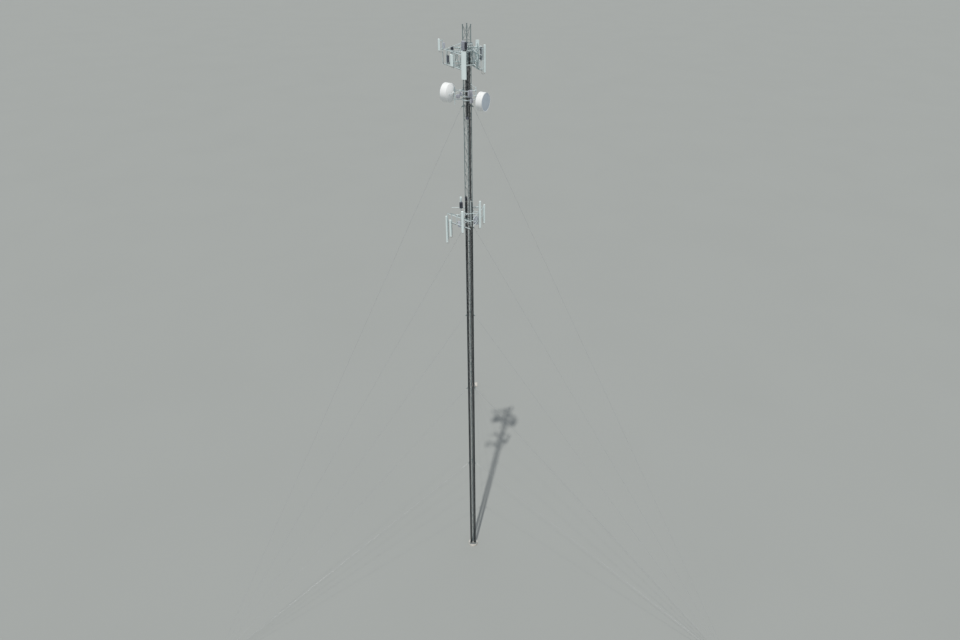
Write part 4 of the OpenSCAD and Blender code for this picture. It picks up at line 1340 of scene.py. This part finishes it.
def jumper_route(k, f, pipe_y, start, lane, box):
    """Path of a thin cable from a panel's connector: down and back to its pipe, down the pipe's
    side, along behind the lower rail, in on top of the nearer arm, round inside the rings above
    the lower one, and up and over into a junction box."""
    y = float(np.dot(start, f.along))
    side = 1 if y > 0 else -1
    step = 0.011 * lane
    beside, behind = k.forward - 0.008, -k.array.pipe_d / 2 - 0.011
    low, arm = f.rails[0] - 0.038 - step, f.levels[0] + 0.028 + step
    y_pipe = pipe_y - side * (k.array.pipe_d / 2 + 0.02)
    y_in = side * (ARM_GAP - 0.006 + step)
    radius = k.ring_in - 0.011
    turn_in = f.out * math.sqrt(radius ** 2 - y_in ** 2) + f.along * y_in
    first = math.degrees(math.atan2(turn_in[1], turn_in[0]))
    last = math.degrees(math.atan2(box[1] - 0.03, box[0]))
    sweep = (last - first + 180) % 360 - 180
    arc = [polar(radius, first + sweep * t, arm) for t in np.linspace(0, 1, 12)]
    leave = start[2] - 0.045
    points = [start, np.array([*start[:2], leave]), f.point(beside, y_pipe, leave - 0.01),
              f.point(beside, y_pipe, low + 0.05), f.point(behind, y_pipe, low)]
    if abs(y_pipe) > ARM_GAP + 0.08:
        points.append(f.point(behind, side * (ARM_GAP + 0.05), low))
    points += [f.point(behind - 0.03, y_in, arm)] + arc + [polar(radius, last, box[2] + 0.05)]
    points += [box + 0.09 * UP, box]
    return rounded(points, 0.04)


class MAST_OT_jumpers(bpy.types.Operator):
    """Builds the junction boxes at the runs' tops and the thin cables from them to the panels"""
    bl_idname = "mast.jumpers"
    bl_label = "Jumper cables"

    def execute(self, context):
        k = Layout(context.scene)
        s = k.array
        wires, boxes = Form(), Form()
        ends = {"top": [e for e in run_ends(k, 1) if e[1] == CABLE_TOP], "mid": run_ends(k, -1)}
        for array, cables in ends.items():
            xs, z = [x for x, _ in cables], cables[0][1] + 0.07
            height = 0.11 if array == "top" else 0.2
            middle = np.array([sum(xs) / len(xs), k.cable_y + 0.004, z + height / 2])
            width = abs(xs[0] - xs[-1]) + 0.036
            boxes.block(middle, ACROSS, UP, (width, height, 0.05), 0.004)
            reach = k.face_y - s.pipe_d / 4 - middle[1] - 0.025
            hold = middle + np.array([0, 0.025 + reach / 2, height / 2 - 0.02])
            boxes.block(hold, ACROSS, UP, (0.05, 0.05, reach), 0.002)
            panels = [(f, a) for f in sectors(s) if f.name.startswith(array) for a in f.antennas]
            for lane, (f, (y, rise, w, h, turn, gap)) in enumerate(panels):
                origin, out = placed(f, s, y, f.middle + rise, turn)[:2]
                start = origin + out * (s.pipe_d / 2 + gap + 0.039) - UP * (h / 2 + 0.03)
                x = xs[0] + (xs[-1] - xs[0]) * lane / 6
                box = np.array([x, middle[1], z + height - 0.01])
                wires.swept(jumper_route(k, f, y, start, lane % 3, box), 0.0045, 8)
        self.bundle(k, wires, boxes)
        wires.make("jumper_cables", "cable_black")
        # The junction boxes share the near-black finish as their own dark colour.
        boxes.make("junction_boxes", "cable_black", finish="dark_and_shaded_casting")
        return {"FINISHED"}

    def bundle(self, k, wires, boxes):
        """Eight cables from a junction block up the middle of the front and in to the boxes under
        the top ring, on three hangers."""
        low, high = level_bar_z(k, BUNDLE_BAYS[0]), DISH_LEVELS[2] + 0.95
        for i in range(BUNDLE_COUNT):
            x = 0.03 - BUNDLE_PITCH * i
            radio = polar(k.ring_out + 0.05, 262 - i * 3.4, TIE_LEVEL - (0.24 if i < 3 else 0.28))
            path = [(x, k.cable_y, low), (x, k.cable_y, high), radio - 0.25 * UP, radio]
            wires.swept(rounded(path, 0.12, 10), 0.0075, 8)
        back = k.cable_y + 0.0075
        reach = k.face_y - k.mast.brace_d / 2 - back
        for bay in BUNDLE_BAYS:
            z = level_bar_z(k, bay)
            boxes.block(np.array([BUNDLE_X, back + 0.003, z]), ACROSS, UP, (0.15, 0.03, 0.006), 0.001)
            boxes.block(np.array([BUNDLE_X, back + reach / 2, z]), ACROSS, UP, (0.03, 0.026, reach), 0.001)
        boxes.block(np.array([BUNDLE_X, k.cable_y, low - 0.05]), ACROSS, UP, (0.16, 0.14, 0.05), 0.004)


# Stage


class MAST_OT_stage(bpy.types.Operator):
    """Sets the floor, the lamps, the background and the camera"""
    bl_idname = "mast.stage"
    bl_label = "Stage"

    def execute(self, context):
        s, scene = context.scene.stage_look, context.scene
        reach, ring = 900.0, np.linspace(0, 2 * math.pi, 97)[:-1]
        mesh = bpy.data.meshes.new("floor")
        radii = np.array([0.01, 20.0, 60.0, 200.0, reach])
        points = np.stack([np.outer(radii, np.cos(ring)), np.outer(radii, np.sin(ring)),
                           np.zeros((len(radii), len(ring)))], -1)
        at = np.arange(len(radii) * len(ring)).reshape(len(radii), -1)
        quads = np.stack([at[:-1], at[1:], np.roll(at[1:], -1, 1), np.roll(at[:-1], -1, 1)], -1)
        mesh.from_pydata(points.reshape(-1, 3).tolist(), [], quads.reshape(-1, 4).tolist() + [at[0].tolist()])
        finish = Finish("pale_floor", tuple(s.floor), 0.9, 0.0, 0.1)
        finish.tint([c * 0.985 for c in s.floor], finish.ramp(finish.noise(0.08), 0.4, 0.7))
        mesh.materials.append(finish.material)
        floor = in_scene("floor", mesh)

        lamp = bpy.data.lights.new("sun", "SUN")
        lamp.energy = s.sun
        lamp.angle = math.radians(1.0)
        lamp.color = (1.0, 0.97, 0.92)
        in_scene("sun", lamp).rotation_euler = Euler((math.radians(23), 0, math.radians(-12)))

        world = bpy.data.worlds.new("sky")
        scene.world = world
        world.use_nodes = True
        tree = world.node_tree
        tree.nodes.clear()
        sky, background = ((*s.sky, 1.0), 0.46), ((0.8, 0.84, 0.86, 1.0), 0.8)
        light, shown = [new_node(tree, "ShaderNodeBackground", {"Color": colour, "Strength": strength})
                        for colour, strength in (sky, background)]
        path = new_node(tree, "ShaderNodeLightPath")
        seen = path.outputs["Is Camera Ray"]
        for other in ("Is Glossy Ray", "Is Transmission Ray"):
            either = new_node(tree, "ShaderNodeMath", operation="MAXIMUM")
            tree.links.new(seen, either.inputs[0])
            tree.links.new(path.outputs[other], either.inputs[1])
            seen = either.outputs[0]
        mix = new_node(tree, "ShaderNodeMixShader")
        for i, out in enumerate((seen, light.outputs[0], shown.outputs[0])):
            tree.links.new(out, mix.inputs[i])
        tree.links.new(mix.outputs[0], new_node(tree, "ShaderNodeOutputWorld").inputs[0])

        data = bpy.data.cameras.new("camera")
        data.lens, data.sensor_width, data.clip_end = s.lens, 36.0, 3000.0
        camera = in_scene("camera", data)
        camera.location = s.eye
        turn = Euler((math.pi / 2 - s.dip, 0, 0)).to_matrix() @ Euler((0, 0, s.roll)).to_matrix()
        camera.rotation_euler = turn.to_euler()
        scene.camera = camera
        scene.view_settings.view_transform = "Standard"
        return {"FINISHED"}


OPERATORS = (MAST_OT_stage, MAST_OT_lattice, MAST_OT_base, MAST_OT_lugs, MAST_OT_guys, MAST_OT_turnbuckles,
             MAST_OT_collars, MAST_OT_frames, MAST_OT_panels, MAST_OT_radios, MAST_OT_whip,
             MAST_OT_dish_mounts, MAST_OT_dishes, MAST_OT_cables, MAST_OT_hangers, MAST_OT_jumpers)


class MAST_PT_panel(bpy.types.Panel):
    """Lists the mast's pieces and sizes in the sidebar"""
    bl_idname = "MAST_PT_panel"
    bl_label = "Guyed lattice mast"
    bl_space_type = "VIEW_3D"
    bl_region_type = "UI"
    bl_category = "Mast"

    def draw(self, context):
        for operator in OPERATORS:
            self.layout.operator(operator.bl_idname)
        for name, group in GROUPS.items():
            box = self.layout.box()
            for prop in group.__annotations__:
                box.prop(getattr(context.scene, name), prop)


def register():
    for group in GROUPS.values():
        bpy.utils.register_class(group)
    for name, group in GROUPS.items():
        setattr(bpy.types.Scene, name, PointerProperty(type=group))
    for cls in OPERATORS + (MAST_PT_panel,):
        bpy.utils.register_class(cls)


def unregister():
    for cls in (MAST_PT_panel,) + OPERATORS[::-1]:
        bpy.utils.unregister_class(cls)
    for name, group in GROUPS.items():
        delattr(bpy.types.Scene, name)
        bpy.utils.unregister_class(group)


def finish_nodes():
    """Gives every CAD node its slot's material."""
    for row in frame["record"]["subparts"]:
        materials = frame["nodes"][row["node"]].data.materials
        materials.clear()
        materials.append(MATERIALS[row["material_slot"]])


def main():
    register()
    finish_nodes()
    for operator in OPERATORS:
        group, name = operator.bl_idname.split(".")
        getattr(getattr(bpy.ops, group), name)()


if __name__ == "__main__":
    main()
